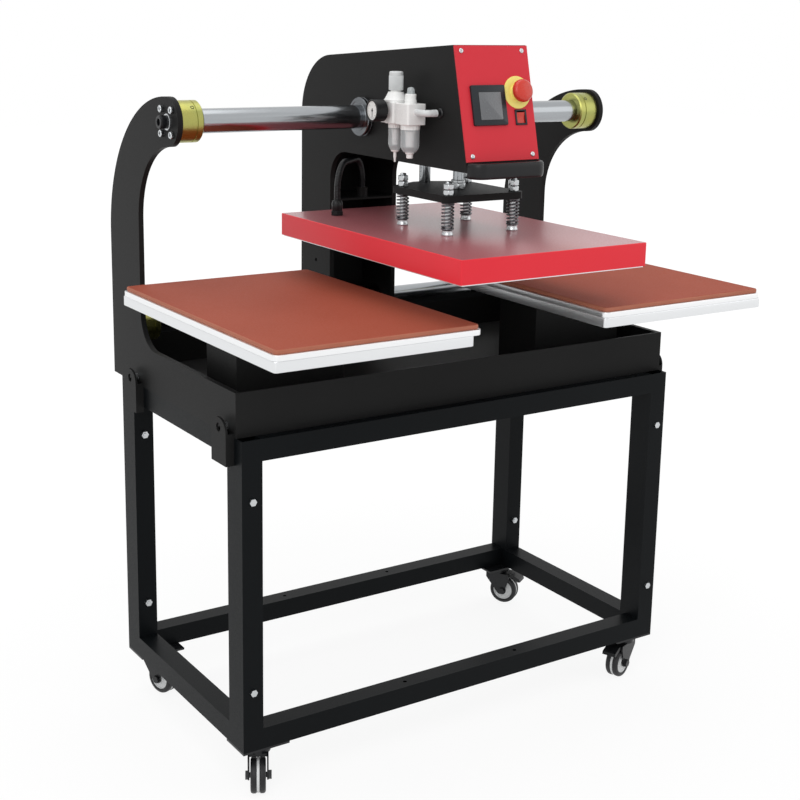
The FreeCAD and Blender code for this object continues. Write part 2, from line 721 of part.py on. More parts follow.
def frame_bolt(x, z, face, outward):
    """A bolt through a leg and its side upright, with its nut."""
    axis, back = ("Y", "-Y") if outward < 0 else ("-Y", "Y")
    grip = d.leg_size + d.side_post
    nut_face = face - outward * grip
    head = prism(back, (x, face, z), d.bolt_head_height, d.bolt_head_radius)
    shank = rod(axis, (x, face, z), grip + d.nut_height + 2.0, d.bolt_radius)
    nut = prism(axis, (x, nut_face, z), d.nut_height, d.nut_radius)
    return fuse(head, shank, nut)


lug_x = half_length + d.lug_depth
LUGS = [(side, y) for _, side in SIDES for y in (d.lug_front_y, d.lug_rear_y)]


def tray_lug(side, y):
    """A channel bracket with a round top that ties the tray to the stand."""
    low = deck - d.lug_below
    high = deck + d.lug_above
    near = (y - d.lug_width / 2, y + d.lug_width / 2)
    crown = d.lug_width / 2 - 2.0
    corners = [(near[0], low), (near[1], low), (near[1], high), (near[0], high)]
    web = plate("YZ_Plane", corners, d.lug_sheet, [(crown, (2, 3))])
    place(web, spans(side, lug_x - d.lug_sheet, lug_x)[0], 0.0, 0.0)
    flange_x = spans(side, half_length, lug_x - d.lug_sheet)
    flange_top = high - crown
    front = block(flange_x, (near[0], near[0] + d.lug_sheet), (low, flange_top))
    rear = block(flange_x, (near[1] - d.lug_sheet, near[1]), (low, flange_top))
    hole_x = spans(side, half_length, lug_x)[0]
    hole = rod("X", (hole_x, y, deck + d.lug_hole_z), d.lug_depth, d.lug_hole_radius)
    return cut(fuse(web, front, rear), hole)


def lug_bolt(side, y):
    """The bolt that a bracket's hole gives access to."""
    z = deck + d.lug_hole_z
    out, inwards = ("-X", "X") if side < 0 else ("X", "-X")
    head = prism(out, (side * half_length, y, z), d.lug_head_high,
                 d.lug_bolt_head)
    shank = rod(inwards, (side * half_length, y, z), d.arm_thickness + d.lug_grip,
                d.lug_bolt_radius)
    nut_at = (side * arm_inside, y, z)
    return fuse(head, shank, prism(inwards, nut_at, d.lug_nut_high, d.lug_bolt_head))


node("tray_lugs", group(*[tray_lug(side, y) for side, y in LUGS]))

bolts = [lug_bolt(side, y) for side, y in LUGS]
for side_name, side in SIDES:
    x = side * (half_length - d.leg_size / 2)
    for height in (d.bolt_low, d.bolt_high):
        bolts.append(frame_bolt(x, d.caster_height + height, d.cart_front, -1.0))
        bolts.append(frame_bolt(x, d.caster_height + height, cart_rear, 1.0))
node("cart_bolts", group(*bolts))

# ---------------------------------------------------------------------------
# Casters: each is built trailing along +X, then turned to its heading
# ---------------------------------------------------------------------------
kingpin_x = half_length - d.caster_plate_x / 2
kingpin_front = d.cart_front + d.caster_plate_y / 2
kingpin_rear = cart_rear - d.caster_plate_y / 2
CASTERS = (
    ("fl", -kingpin_x, kingpin_front, d.heading_fl, False),
    ("fr", kingpin_x, kingpin_front, d.heading_fr, True),
    ("rl", -kingpin_x, kingpin_rear, d.heading_rl, False),
    ("rr", kingpin_x, kingpin_rear, d.heading_rr, True),
)
caster_plate_z = d.caster_height - d.caster_plate_thick
race_z = caster_plate_z - d.caster_race_height
crown_z = race_z - d.crown_gap
arm_in = d.wheel_width / 2 + d.fork_gap
arm_out = arm_in + d.fork_plate
crown_low = d.wheel_radius * 2 + d.crown_lift
crown_high = crown_low + d.crown_thick
crown_half = d.caster_race_radius - d.crown_inset
pedal_x = d.caster_race_radius + d.pedal_back - 1.0
pedal_z = crown_low + 2.0


def at_caster(thing, x, y, heading):
    """Puts a caster piece under its corner, turned to its heading."""
    place(thing, x, y, 0.0, FreeCAD.Rotation(FreeCAD.Vector(0, 0, 1), 1))
    bind(thing, "Placement.Rotation.Angle", heading)
    return thing


def caster_plate(x, y):
    """Mounting plate with its fixed race."""
    half_x = d.caster_plate_x / 2
    half_y = d.caster_plate_y / 2
    flat = block((x - half_x, x + half_x), (y - half_y, y + half_y),
                 (caster_plate_z, d.caster_height))
    race = rod("Z", (x, y, race_z), d.caster_race_height, d.caster_race_radius)
    bore = rod("Z", (x, y, race_z - 1.0), d.caster_race_height + 3.0,
               d.caster_pin_radius + d.run_clear)
    return cut(fuse(flat, race), bore)


def fork_cheek(y):
    """One side of a fork, from the crown down to the axle."""
    reach = d.caster_trail
    foot = d.wheel_radius - d.fork_foot
    front = pedal_x + d.pedal_back
    corners = [
        (-crown_half, crown_high),
        (-crown_half, crown_low - d.crown_thick),
        (reach - d.fork_foot, foot),
        (reach + d.fork_foot, foot),
        (reach + d.fork_foot, d.wheel_radius + d.fork_flank),
        (front, crown_low - d.crown_thick),
        (front, crown_high),
    ]
    side = plate("XZ_Plane", corners, d.fork_plate,
                 [(d.fork_foot_round, (2, 3)), (d.fork_shoulder_round, (1, 5))])
    return place(side, 0.0, y, 0.0)


def caster_fork():
    """Fork with its crown, kingpin and axle bolt, trailing along +X."""
    crown = block((-crown_half, crown_half), (-arm_out, arm_out), (crown_low, crown_high))
    disc_low = crown_high - 1.0
    disc = rod("Z", (0.0, 0.0, disc_low), crown_z - disc_low, d.caster_race_radius - 2.0)
    pin = rod("Z", (0.0, 0.0, disc_low), caster_plate_z + 1.0 - disc_low, d.caster_pin_radius)
    frame = fuse(fork_cheek(arm_out), fork_cheek(-arm_in), crown, disc, pin)
    start = -(arm_out + 1.0)
    axle_hole = rod("Y", (d.caster_trail, start, d.wheel_radius), arm_out * 2 + 2.0,
                    d.axle_radius + d.fit_clear)
    pedal_hole = rod("Y", (pedal_x, start, pedal_z), arm_out * 2 + 2.0,
                     d.pedal_pin + d.run_clear)
    shank = rod("Y", (d.caster_trail, -arm_out, d.wheel_radius), arm_out * 2, d.axle_radius)
    head = prism("-Y", (d.caster_trail, -arm_out, d.wheel_radius), d.axle_head_high,
                 d.axle_head)
    nut = prism("Y", (d.caster_trail, arm_out, d.wheel_radius), d.axle_nut_high, d.axle_head)
    return group(cut(frame, axle_hole, pedal_hole), fuse(shank, head, nut))


def caster_wheel():
    """Hub and tyre on the axle, trailing along +X."""
    half = d.wheel_width / 2
    at = (d.caster_trail, 0.0, d.wheel_radius)
    bore = d.axle_radius + d.run_clear
    rim = d.hub_radius
    inner = rim - d.hub_dish
    boss = d.hub_boss
    face = half - 1.0
    dish = half - d.hub_dish
    edge = half - d.hub_step
    hub = turned([(bore, -face), (boss, -face), (boss, -dish), (inner, -dish), (inner, -edge),
                  (rim, -edge), (rim, edge), (inner, edge), (inner, dish), (boss, dish),
                  (boss, face), (bore, face)], *at, axis="Y")
    tread = d.wheel_radius
    bevel = d.tyre_round
    tyre = turned([(rim, -edge), (rim + bevel, -half), (tread - bevel, -half),
                   (tread, -(half - bevel)), (tread, half - bevel), (tread - bevel, half),
                   (rim + bevel, half), (rim, edge)], *at, axis="Y")
    return group(hub, tyre)


def brake_pedal():
    """Foot lever over the tyre, on its own pin."""
    half = arm_in - d.pedal_side
    reach = d.caster_trail + d.wheel_radius
    back = pedal_x - d.pedal_back
    neck = pedal_x + d.pedal_neck
    corners = [
        (back, pedal_z - d.pedal_under), (neck, pedal_z - d.pedal_under),
        (reach + d.pedal_back, pedal_z - d.pedal_drop),
        (reach + d.pedal_toe, pedal_z - d.pedal_drop + 1.0),
        (reach + d.pedal_toe - 2.0, pedal_z - d.pedal_over),
        (neck, pedal_z + d.pedal_over), (back, pedal_z + d.pedal_over),
    ]
    lever = place(plate("XZ_Plane", corners, half * 2), 0.0, half, 0.0)
    pin = rod("Y", (pedal_x, -arm_out, pedal_z), arm_out * 2, d.pedal_pin)
    return fuse(lever, pin)


node("caster_plates", group(*[caster_plate(x, y) for _, x, y, _, _ in CASTERS]))
for name, x, y, heading, braked in CASTERS:
    node(f"caster_fork_{name}", at_caster(caster_fork(), x, y, heading))
    node(f"caster_wheel_{name}", at_caster(caster_wheel(), x, y, heading))
    if braked:
        node(f"brake_pedal_{name}", at_caster(brake_pedal(), x, y, heading))

# ---------------------------------------------------------------------------
# Base tray and side arms
# ---------------------------------------------------------------------------
tray_x = (-arm_inside, arm_inside)
tray_floor = block(tray_x, (d.tray_front, d.tray_rear), (deck, deck + d.tray_wall))
tray_sill = block(tray_x, (d.tray_front, d.tray_front + d.tray_wall), (deck, tray_top))
tray_back = block(tray_x, (d.tray_rear - d.tray_wall, d.tray_rear), (deck, tray_top))
node("base_tray", fuse(tray_floor, tray_sill, tray_back))


def flange_screws(side):
    """Places of the four screws about the upper shaft's end."""
    half = d.flange_screw_pitch / 2
    x = side * half_length
    return [(x, d.upper_shaft_y + a * half, upper_shaft_z + b * half)
            for a in (-1.0, 1.0) for b in (-1.0, 1.0)]


def side_arm(side):
    """Side plate: a low tray side that sweeps up to the shaft's end."""
    column = d.tray_rear - d.arm_column
    outer_bend = d.tray_rear - d.upper_shaft_y - 1.0
    head_y = d.upper_shaft_y - d.arm_head_radius
    head_low = upper_shaft_z - d.arm_head_radius - d.fit_clear
    head_high = upper_shaft_z + d.arm_head_radius + d.fit_clear
    corners = [
        (d.tray_rear, deck), (d.tray_front, deck), (d.tray_front, tray_top),
        (column, tray_top), (column, head_low), (head_y, head_low),
        (head_y, head_high), (d.tray_rear, head_high),
    ]
    rounds = [(outer_bend, (7,)), (d.arm_inner_radius, (4,)),
              (d.arm_foot_radius, (3,)), (d.arm_head_radius, (5, 6))]
    arm = plate("YZ_Plane", corners, d.arm_thickness, rounds)
    place(arm, spans(side, arm_inside, half_length)[0], 0.0, 0.0)
    inwards = "X" if side < 0 else "-X"
    holes = [rod(inwards, at, d.arm_thickness, d.flange_screw_radius + d.hole_clear)
             for at in flange_screws(side)]
    centre = (side * half_length, d.upper_shaft_y, upper_shaft_z)
    holes.append(rod(inwards, centre, d.arm_thickness, d.shaft_bolt_radius + d.hole_clear))
    for lug_side, y in LUGS:
        if lug_side == side:
            at = (side * half_length, y, deck + d.lug_hole_z)
            holes.append(rod(inwards, at, d.arm_thickness, d.lug_bolt_radius + d.hole_clear))
    return cut(arm, *holes)


for side_name, side in SIDES:
    node(f"side_arm_{side_name}", side_arm(side))


def clamp_flange(side, y, z, length, radius, screws):
    """Flange that holds one shaft end against its arm."""
    inwards = "X" if side < 0 else "-X"
    start = (side * arm_inside, y, z)
    ring = rod(inwards, start, length, radius)
    tools = [rod(inwards, start, length, d.shaft_radius + d.clamp_clear)]
    for at in screws:
        tools.append(rod(inwards, at, d.flange_screw_deep, d.flange_screw_radius + d.fit_clear))
    return cut(ring, *tools)


flanges = []
for side_name, side in SIDES:
    flanges.append(clamp_flange(side, d.upper_shaft_y, upper_shaft_z, d.flange_length,
                                d.flange_radius, flange_screws(side)))
    flanges.append(clamp_flange(side, d.lower_shaft_y, lower_shaft_z, d.low_flange_length,
                                d.low_flange_radius, []))
node("shaft_flanges", group(*flanges))

shaft_start = (-arm_inside, d.upper_shaft_y, upper_shaft_z)
shaft_bores = []
for side_name, side in SIDES:
    inwards = "X" if side < 0 else "-X"
    start = (side * arm_inside, d.upper_shaft_y, upper_shaft_z)
    bore_length = d.shaft_bolt_deep - d.arm_thickness + 2.0
    shaft_bores.append(rod(inwards, start, bore_length, d.shaft_bolt_radius + d.fit_clear))
node("upper_shaft", cut(rod("X", shaft_start, arm_inside * 2, d.shaft_radius), *shaft_bores))
node("lower_shaft", rod("X", (-arm_inside, d.lower_shaft_y, lower_shaft_z),
                        arm_inside * 2, d.shaft_radius))

arm_bolts = []
for side_name, side in SIDES:
    out, inwards = ("-X", "X") if side < 0 else ("X", "-X")
    for at in flange_screws(side):
        head = rod(out, at, d.flange_screw_head, d.flange_screw_head)
        arm_bolts.append(fuse(head, rod(inwards, at, d.flange_screw_deep,
                                        d.flange_screw_radius)))
    centre = (side * half_length, d.upper_shaft_y, upper_shaft_z)
    washer = rod(out, centre, d.washer_height, d.washer_radius)
    head = rod(out, centre, d.washer_height + d.shaft_bolt_high, d.shaft_bolt_head)
    shank = rod(inwards, centre, d.shaft_bolt_deep, d.shaft_bolt_radius)
    arm_bolts.append(fuse(washer, head, shank))
node("arm_bolts", group(*arm_bolts))

# ---------------------------------------------------------------------------
# Lower platens and their pedestals
# ---------------------------------------------------------------------------
def slab(x, y, z, corner):
    """A flat slab with rounded vertical corners."""
    corners = [(x[0], y[0]), (x[1], y[0]), (x[1], y[1]), (x[0], y[1])]
    body = plate("XY_Plane", corners, z[1] - z[0], [(corner, (0, 1, 2, 3))])
    return place(body, 0.0, 0.0, z[0])


def pedestal(side):
    """Box column with a flange plate at each end."""
    x = side * d.platen_x
    half_x = d.pedestal_x / 2
    half_y = d.pedestal_y / 2
    low = deck + d.tray_wall
    caps = []
    for level in ((low, low + d.pedestal_cap), (base_bottom - d.pedestal_cap, base_bottom)):
        caps.append(block((x - half_x - d.pedestal_lip, x + half_x + d.pedestal_lip),
                          (-(half_y + d.pedestal_lip), half_y + d.pedestal_lip), level))
    box = block((x - half_x, x + half_x), (-half_y, half_y), (low, base_bottom))
    wall = d.pedestal_wall
    hollow = block((x - half_x + wall, x + half_x - wall), (wall - half_y, half_y - wall),
                   (low + d.pedestal_cap, base_bottom - d.pedestal_cap))
    return cut(fuse(box, *caps), hollow)


platen_bases = []
platen_plates = []
platen_pads = []
for side_name, side in SIDES:
    x = side * d.platen_x
    half = d.platen_width / 2
    right = x + half - d.base_inset if side < 0 else x + half
    y = (d.platen_front, platen_rear)
    platen_bases.append(slab((x - half, right), y, (base_bottom, base_top), d.base_corner))
    platen_plates.append(slab((x - half, x + half), y, (base_top, plate_top), d.pad_corner))
    edge = d.pad_inset
    platen_pads.append(slab((x - half + edge, x + half - edge),
                            (y[0] + edge, y[1] - edge), (plate_top, pad_top),
                            d.pad_corner - edge))
node("platen_pedestals", group(*[pedestal(side) for _, side in SIDES]))
node("lower_platen_bases", group(*platen_bases))
node("lower_platen_plates", group(*platen_plates))
node("lower_platen_pads", group(*platen_pads))

# ---------------------------------------------------------------------------
# Carriage: cheeks, covers, bearings
# ---------------------------------------------------------------------------
head_height = d.head_top - d.head_floor
head_back_y = d.head_front + d.head_rake
back_corner = (d.column_rear, head_top - d.top_fall)
upper_axis = (d.upper_shaft_y, upper_shaft_z)
lower_axis = (d.lower_shaft_y, lower_shaft_z)


def cheek(side):
    """Side plate of the carriage: column, throat and raked head."""
    corners = [
        (d.column_rear, column_foot), (d.column_front, column_foot),
        (d.column_front, head_floor), (d.head_front, head_floor),
        (head_back_y, head_top), back_corner,
    ]
    side_plate = plate("YZ_Plane", corners, d.cheek_thick,
                       [(d.back_radius, (5,)), (d.throat_radius, (2,))])
    low_x = spans(side, cheek_inside, d.cheek_half)[0]
    place(side_plate, low_x, 0.0, 0.0)
    holes = [rod("X", (low_x, y, z), d.cheek_thick, d.housing_radius + d.housing_seat)
             for y, z in (upper_axis, lower_axis)]
    holes.append(rod("X", (low_x, d.side_hole_y, deck + d.side_hole_rise),
                     d.cheek_thick, d.side_hole_radius))
    if side < 0:
        holes.append(rod("X", (low_x, d.outlet_y, deck + d.outlet_rise),
                         d.cheek_thick, d.hose_radius + 1.0))
    return cut(side_plate, *holes)


for side_name, side in SIDES:
    node(f"cheek_{side_name}", cheek(side))

cover_x = (-cheek_inside, cheek_inside)
split_z = deck + d.cover_split
node("rear_cover", block(cover_x, (d.column_rear - d.cover_steel, d.column_rear),
                         (column_foot, split_z)))


def top_shape(inset, extra):
    """The region under the top cover's outside or inside."""
    rear = d.column_rear - inset
    low = split_z - extra
    corners = [(rear, low), (rear, back_corner[1] - inset),
               (head_back_y - extra, head_top - inset), (head_back_y - extra, low)]
    width = cheek_inside * 2 + extra * 2
    shape = plate("YZ_Plane", corners, width, [(d.back_radius - inset, (1,))])
    return place(shape, -(cheek_inside + extra), 0.0, 0.0)


node("top_cover", cut(top_shape(as_size(0.0), as_size(0.0)),
                      top_shape(d.cover_steel, as_size(1.0))))


def bearing_housing(y, z):
    """Tube between the cheeks with a flange outside each."""
    proud = d.cheek_half + d.housing_proud
    body = rod("X", (-proud, y, z), proud * 2, d.housing_radius)
    rings = []
    for _, side in SIDES:
        ring_x = spans(side, d.cheek_half, proud)[0]
        rings.append(rod("X", (ring_x, y, z), d.housing_proud, d.housing_flange))
    bore = rod("X", (-proud, y, z), proud * 2, d.shaft_radius + d.run_clear)
    return cut(fuse(body, *rings), bore)


node("upper_bearing_housing", bearing_housing(*upper_axis))
node("lower_bearing_housing", bearing_housing(*lower_axis))

mount_flat = block(cover_x, (d.head_front, d.mount_rear), (head_floor, mount_top))
lip_rake = d.head_rake * d.mount_front_lip / head_height
lip_corners = [
    (d.head_front, head_floor), (d.head_front + d.mount_bend, head_floor),
    (d.head_front + d.mount_bend + lip_rake, head_floor + d.mount_front_lip),
    (d.head_front + lip_rake, head_floor + d.mount_front_lip),
]
mount_lip = place(plate("YZ_Plane", lip_corners, cheek_inside * 2), -cheek_inside, 0.0, 0.0)
# the flat stops where the raked lip begins
lip_wedge = [
    (d.head_front, head_floor), (d.head_front + d.head_rake, head_top),
    (d.head_front - d.head_rake, head_top), (d.head_front - d.head_rake, head_floor),
]
rake_tool = place(plate("YZ_Plane", lip_wedge, cheek_inside * 2 + 2.0),
                  -(cheek_inside + 1.0), 0.0, 0.0)
rod_hole = rod("Z", (0.0, d.press_y, head_floor), d.mount_plate, d.rod_radius + d.run_clear)
guide_hole = rod("Z", (0.0, d.guide_y, head_floor), d.mount_plate,
                 d.guide_radius + d.run_clear)
node("cylinder_mount_plate", cut(fuse(mount_flat, mount_lip), rake_tool, rod_hole, guide_hole))

# ---------------------------------------------------------------------------
# Air cylinder, rods and spider
# ---------------------------------------------------------------------------
cylinder_top = mount_top + d.cylinder_length
piston_high = cylinder_top - d.cap_height - d.piston_top
piston_low = piston_high - d.piston_height


def end_cap(low):
    """Square end cap of the air cylinder."""
    half = d.cap_square / 2
    return block((-half, half), (d.press_y - half, d.press_y + half),
                 (low, low + d.cap_height))


barrel = rod("Z", (0.0, d.press_y, mount_top), d.cylinder_length, d.barrel_radius)
chamber = rod("Z", (0.0, d.press_y, mount_top + d.cap_height),
              d.cylinder_length - d.cap_height * 2, d.bore_radius)
rod_bush = rod("Z", (0.0, d.press_y, mount_top), d.cap_height + 1.0,
               d.rod_radius + d.run_clear)
node("air_cylinder", cut(fuse(barrel, end_cap(mount_top), end_cap(cylinder_top - d.cap_height)),
                         fuse(chamber, rod_bush)))

rod_shank = rod("Z", (0.0, d.press_y, spider_bottom), piston_low - spider_bottom + 1.0,
                d.rod_radius)
rod_nut = prism("Z", (0.0, d.press_y, spider_top), d.rod_nut_height, d.rod_nut_radius)
piston = rod("Z", (0.0, d.press_y, piston_low), d.piston_height, d.bore_radius - d.run_clear)
node("piston_rod", fuse(rod_shank, rod_nut, piston))

guide_top = mount_top + d.guide_reach
guide_shank = rod("Z", (0.0, d.guide_y, spider_top), guide_top - spider_top, d.guide_radius)
guide_stub = rod("Z", (0.0, d.guide_y, spider_bottom - d.guide_collar_low),
                 d.spider_thick + d.guide_collar_low, d.guide_radius - 2.0)
guide_bush = rod("Z", (0.0, d.guide_y, spider_bottom - d.guide_collar_low),
                 d.guide_collar_low, d.guide_collar)
node("guide_rod", fuse(guide_shank, guide_stub, guide_bush))

post_half = d.post_pitch / 2
POSTS = [(a * post_half, d.press_y + b * post_half) for a in (-1.0, 1.0) for b in (-1.0, 1.0)]
spider_half = post_half + d.spider_margin
tongue = d.guide_collar + 4.0
spider_corners = [
    (-spider_half, d.press_y - spider_half), (spider_half, d.press_y - spider_half),
    (spider_half, d.press_y + spider_half), (tongue, d.guide_y + tongue),
    (-tongue, d.guide_y + tongue), (-spider_half, d.press_y + spider_half),
]
spider_plate = place(
    plate("XY_Plane", spider_corners, d.spider_thick, [(d.spider_corner, (0, 1, 2, 3, 4, 5))]),
    0.0, 0.0, spider_bottom)
spider_holes = [rod("Z", (x, y, spider_bottom), d.spider_thick, d.post_radius + d.post_clear)
                for x, y in POSTS]
spider_holes.append(rod("Z", (0.0, d.press_y, spider_bottom), d.spider_thick, d.rod_radius))
spider_holes.append(rod("Z", (0.0, d.guide_y, spider_bottom), d.spider_thick,
                        d.guide_radius - 2.0))
node("spider_plate", cut(spider_plate, *spider_holes))

# ---------------------------------------------------------------------------
# Heat platen with its posts and springs
# ---------------------------------------------------------------------------
heat_x = (-(d.heat_width / 2), d.heat_width / 2)
heat_y = (d.heat_front, heat_rear)
cover_low = heater_bottom + d.cover_lift
cover_shell = slab(heat_x, heat_y, (cover_low, heat_top), d.cover_corner)
inner_x = (heat_x[0] + d.cover_sheet, heat_x[1] - d.cover_sheet)
inner_y = (heat_y[0] + d.cover_sheet, heat_y[1] - d.cover_sheet)
cover_hollow = block(inner_x, inner_y, (cover_low - 1.0, heat_top - d.cover_sheet))
cover_holes = [rod("Z", (x, y, heat_top - d.cover_sheet), d.cover_sheet,
                   d.post_radius + d.fit_clear)
               for x, y in POSTS]
cover_holes.append(rod("Z", (d.gland_x, d.gland_y, heat_top - d.cover_sheet),
                       d.cover_sheet, d.conduit_radius))
node("heat_platen_cover", cut(cover_shell, cover_hollow, *cover_holes))

heater_x = (inner_x[0] + d.heater_gap, inner_x[1] - d.heater_gap)
heater_y = (inner_y[0] + d.heater_gap, inner_y[1] - d.heater_gap)
heater_top = heater_bottom + d.heater_thick
# four bosses carry the posts and the cover on the heating plate
heater_slab = block(heater_x, heater_y, (heater_bottom, heater_top))
heater_bosses = [rod("Z", (x, y, heater_top), heat_top - d.cover_sheet - heater_top,
                     d.boss_radius) for x, y in POSTS]
boss_holes = [rod("Z", (x, y, heater_top), heat_top - d.cover_sheet - heater_top,
                  d.post_radius + d.fit_clear) for x, y in POSTS]
node("heating_plate", cut(fuse(heater_slab, *heater_bosses), *boss_holes))


def platen_post(x, y):
    """A post with its foot collar and its two nuts above the spider."""
    low = heater_top + d.heater_air
    high = spider_top + d.post_nut_height * 2 + d.nut_step + d.post_over
    shank = rod("Z", (x, y, low), high - low, d.post_radius)
    collar = rod("Z", (x, y, heat_top), d.collar_height, d.collar_radius)
    first = prism("Z", (x, y, spider_top), d.post_nut_height, d.post_nut_radius)
    second = prism("Z", (x, y, spider_top + d.post_nut_height + d.nut_step),
                   d.post_nut_height, d.post_nut_radius)
    return fuse(shank, collar, first, second)


node("platen_posts", group(*[platen_post(x, y) for x, y in POSTS]))

spring_low = heat_top + d.collar_height + d.spring_wire + d.fit_clear
spring_high = spider_bottom - d.spring_wire - d.fit_clear


def platen_spring(x, y):
    """A coil spring between a post's collar and the spider plate."""
    helix = doc.addObject("Part::Helix", "Coil")
    bind(helix, "Pitch", d.spring_pitch)
    bind(helix, "Height", spring_high - spring_low)
    bind(helix, "Radius", d.spring_radius)
    wire = doc.addObject("Part::Circle", "Wire")
    bind(wire, "Radius", d.spring_wire)
    place(wire, d.spring_radius, 0.0, 0.0, AXIS_TURN["-Y"])
    coil = doc.addObject("Part::Sweep", "Spring")
    coil.Sections = [wire]
    coil.Spine = (helix, ["Edge1"])
    coil.Solid = True
    coil.Frenet = True
    return place(coil, x, y, spring_low)


node("platen_springs", group(*[platen_spring(x, y) for x, y in POSTS]))

# ---------------------------------------------------------------------------
# Conduit from the heat platen to the carriage
# ---------------------------------------------------------------------------
gland_top = heat_top + d.gland_height
gland_nut = prism("Z", (d.gland_x, d.gland_y, heat_top), d.gland_nut_high,
                  d.gland_radius + d.gland_nut_over)
gland_body = rod("Z", (d.gland_x, d.gland_y, heat_top), d.gland_height, d.gland_radius)
node("platen_gland", fuse(gland_nut, gland_body))

shelf_low = deck + d.shelf_rise
shelf_high = shelf_low + d.shelf_thick
shelf_gland_top = shelf_high + d.shelf_gland_height
shelf_plate = block(cover_x, (d.column_front, d.column_rear - d.cover_steel),
                    (shelf_low, shelf_high))
shelf_gland = rod("Z", (d.shelf_x, d.shelf_y, shelf_high), d.shelf_gland_height, d.gland_radius)
node("conduit_shelf", fuse(shelf_plate, shelf_gland))

arch_z = deck + d.arch_rise
arch_run_x = d.shelf_x - d.gland_x
arch_run_y = d.shelf_y - d.gland_y
arch_run = hypotenuse(arch_run_x, arch_run_y)


def arch_bend(x, z, turn):
    """A quarter bend of the conduit in its own vertical plane."""
    bend = doc.addObject("Part::Torus", "Bend")
    bind(bend, "Radius1", d.arch_radius)
    bind(bend, "Radius2", d.conduit_radius)
    bend.Angle3 = 90
    return place(bend, x, 0.0, z, AXIS_TURN["-Y"] * turn)


quarter = FreeCAD.Rotation(FreeCAD.Vector(0, 0, 1), 90)
bend_z = arch_z - d.arch_radius
arch = fuse(
    rod("Z", (0.0, 0.0, gland_top), bend_z - gland_top, d.conduit_radius),
    arch_bend(d.arch_radius, bend_z, quarter),
    rod("X", (d.arch_radius, 0.0, arch_z), arch_run - d.arch_radius * 2, d.conduit_radius),
    arch_bend(arch_run - d.arch_radius, bend_z, FreeCAD.Rotation()),
    rod("Z", (arch_run, 0.0, shelf_gland_top), bend_z - shelf_gland_top, d.conduit_radius),
)
place(arch, d.gland_x, d.gland_y, 0.0, FreeCAD.Rotation(FreeCAD.Vector(0, 0, 1), 1))
bind(arch, "Placement.Rotation.Angle", arctangent(arch_run_y, arch_run_x))
node("conduit", arch)

# ---------------------------------------------------------------------------
# Control panel: built flat (X right, Y up its slope, Z outwards), then raked
# ---------------------------------------------------------------------------
slope = hypotenuse(head_height, d.head_rake)
panel_y = d.head_front + d.head_rake * d.panel_start / slope
panel_z = head_floor + head_height * d.panel_start / slope


def on_panel(thing):
    """Leans a flat-built piece back onto the raked front of the head."""
    place(thing, 0.0, panel_y, panel_z, FreeCAD.Rotation(FreeCAD.Vector(1, 0, 0), 1))
    bind(thing, "Placement.Rotation.Angle", arctangent(head_height, d.head_rake))
    return thing


screen_x = (d.screen_left, d.screen_left + d.screen_width)
screen_y = (d.screen_low, d.screen_low + d.screen_tall)
screen_in_x = (screen_x[0] + d.screen_rim, screen_x[1] - d.screen_rim)
screen_in_y = (screen_y[0] + d.screen_rim, screen_y[1] - d.screen_rim)
switch_x = (d.switch_x - d.switch_width / 2, d.switch_x + d.switch_width / 2)
switch_y = (d.switch_y - d.switch_tall / 2, d.switch_y + d.switch_tall / 2)
switch_in_x = (switch_x[0] + d.switch_rim, switch_x[1] - d.switch_rim)
switch_in_y = (switch_y[0] + d.switch_rim, switch_y[1] - d.switch_rim)
through = (-1.0, d.panel_thick + 1.0)
SCREWS = [(a * d.panel_screw_x, y) for a in (-1.0, 1.0)
          for y in (d.panel_screw_edge, d.panel_height - d.panel_screw_edge)]

panel_sheet = block((-d.cheek_half, d.cheek_half), (0.0, d.panel_height), (0.0, d.panel_thick))
panel_cuts = [
    block(screen_in_x, screen_in_y, through),
    block(switch_in_x, switch_in_y, through),
    rod("Z", (d.estop_x, d.estop_y, -1.0), d.panel_thick + 2.0, d.estop_stem + 2.0),
]
for x, y in SCREWS:
    panel_cuts.append(rod("Z", (x, y, -1.0), d.panel_thick + 2.0,
                          d.panel_screw_shank + d.hole_clear))
node("front_panel", on_panel(cut(panel_sheet, *panel_cuts)))

screws = []
for x, y in SCREWS:
    screw_head = cone("Z", (x, y, d.panel_thick), d.panel_screw_high, d.panel_screw_radius,
                      d.panel_screw_radius - d.panel_screw_taper)
    shank = rod("Z", (x, y, -d.panel_screw_deep), d.panel_thick + d.panel_screw_deep + 1.0,
                d.panel_screw_shank)
    screws.append(fuse(screw_head, shank))
node("panel_screws", on_panel(group(*screws)))

screen_face = d.panel_thick + d.screen_proud
bezel = block(screen_x, screen_y, (d.panel_thick, screen_face))
housing = block((screen_in_x[0] + d.hole_clear, screen_in_x[1] - d.hole_clear),
                (screen_in_y[0] + d.hole_clear, screen_in_y[1] - d.hole_clear),
                (-d.screen_back, d.panel_thick))
display = block((screen_x[0] + d.display_left, screen_x[0] + d.display_left + d.display_width),
                (screen_y[0] + d.display_low, screen_y[0] + d.display_low + d.display_tall),
                (screen_face - d.display_deep, screen_face + 1.0))
node("touch_screen", on_panel(cut(fuse(bezel, housing), display)))

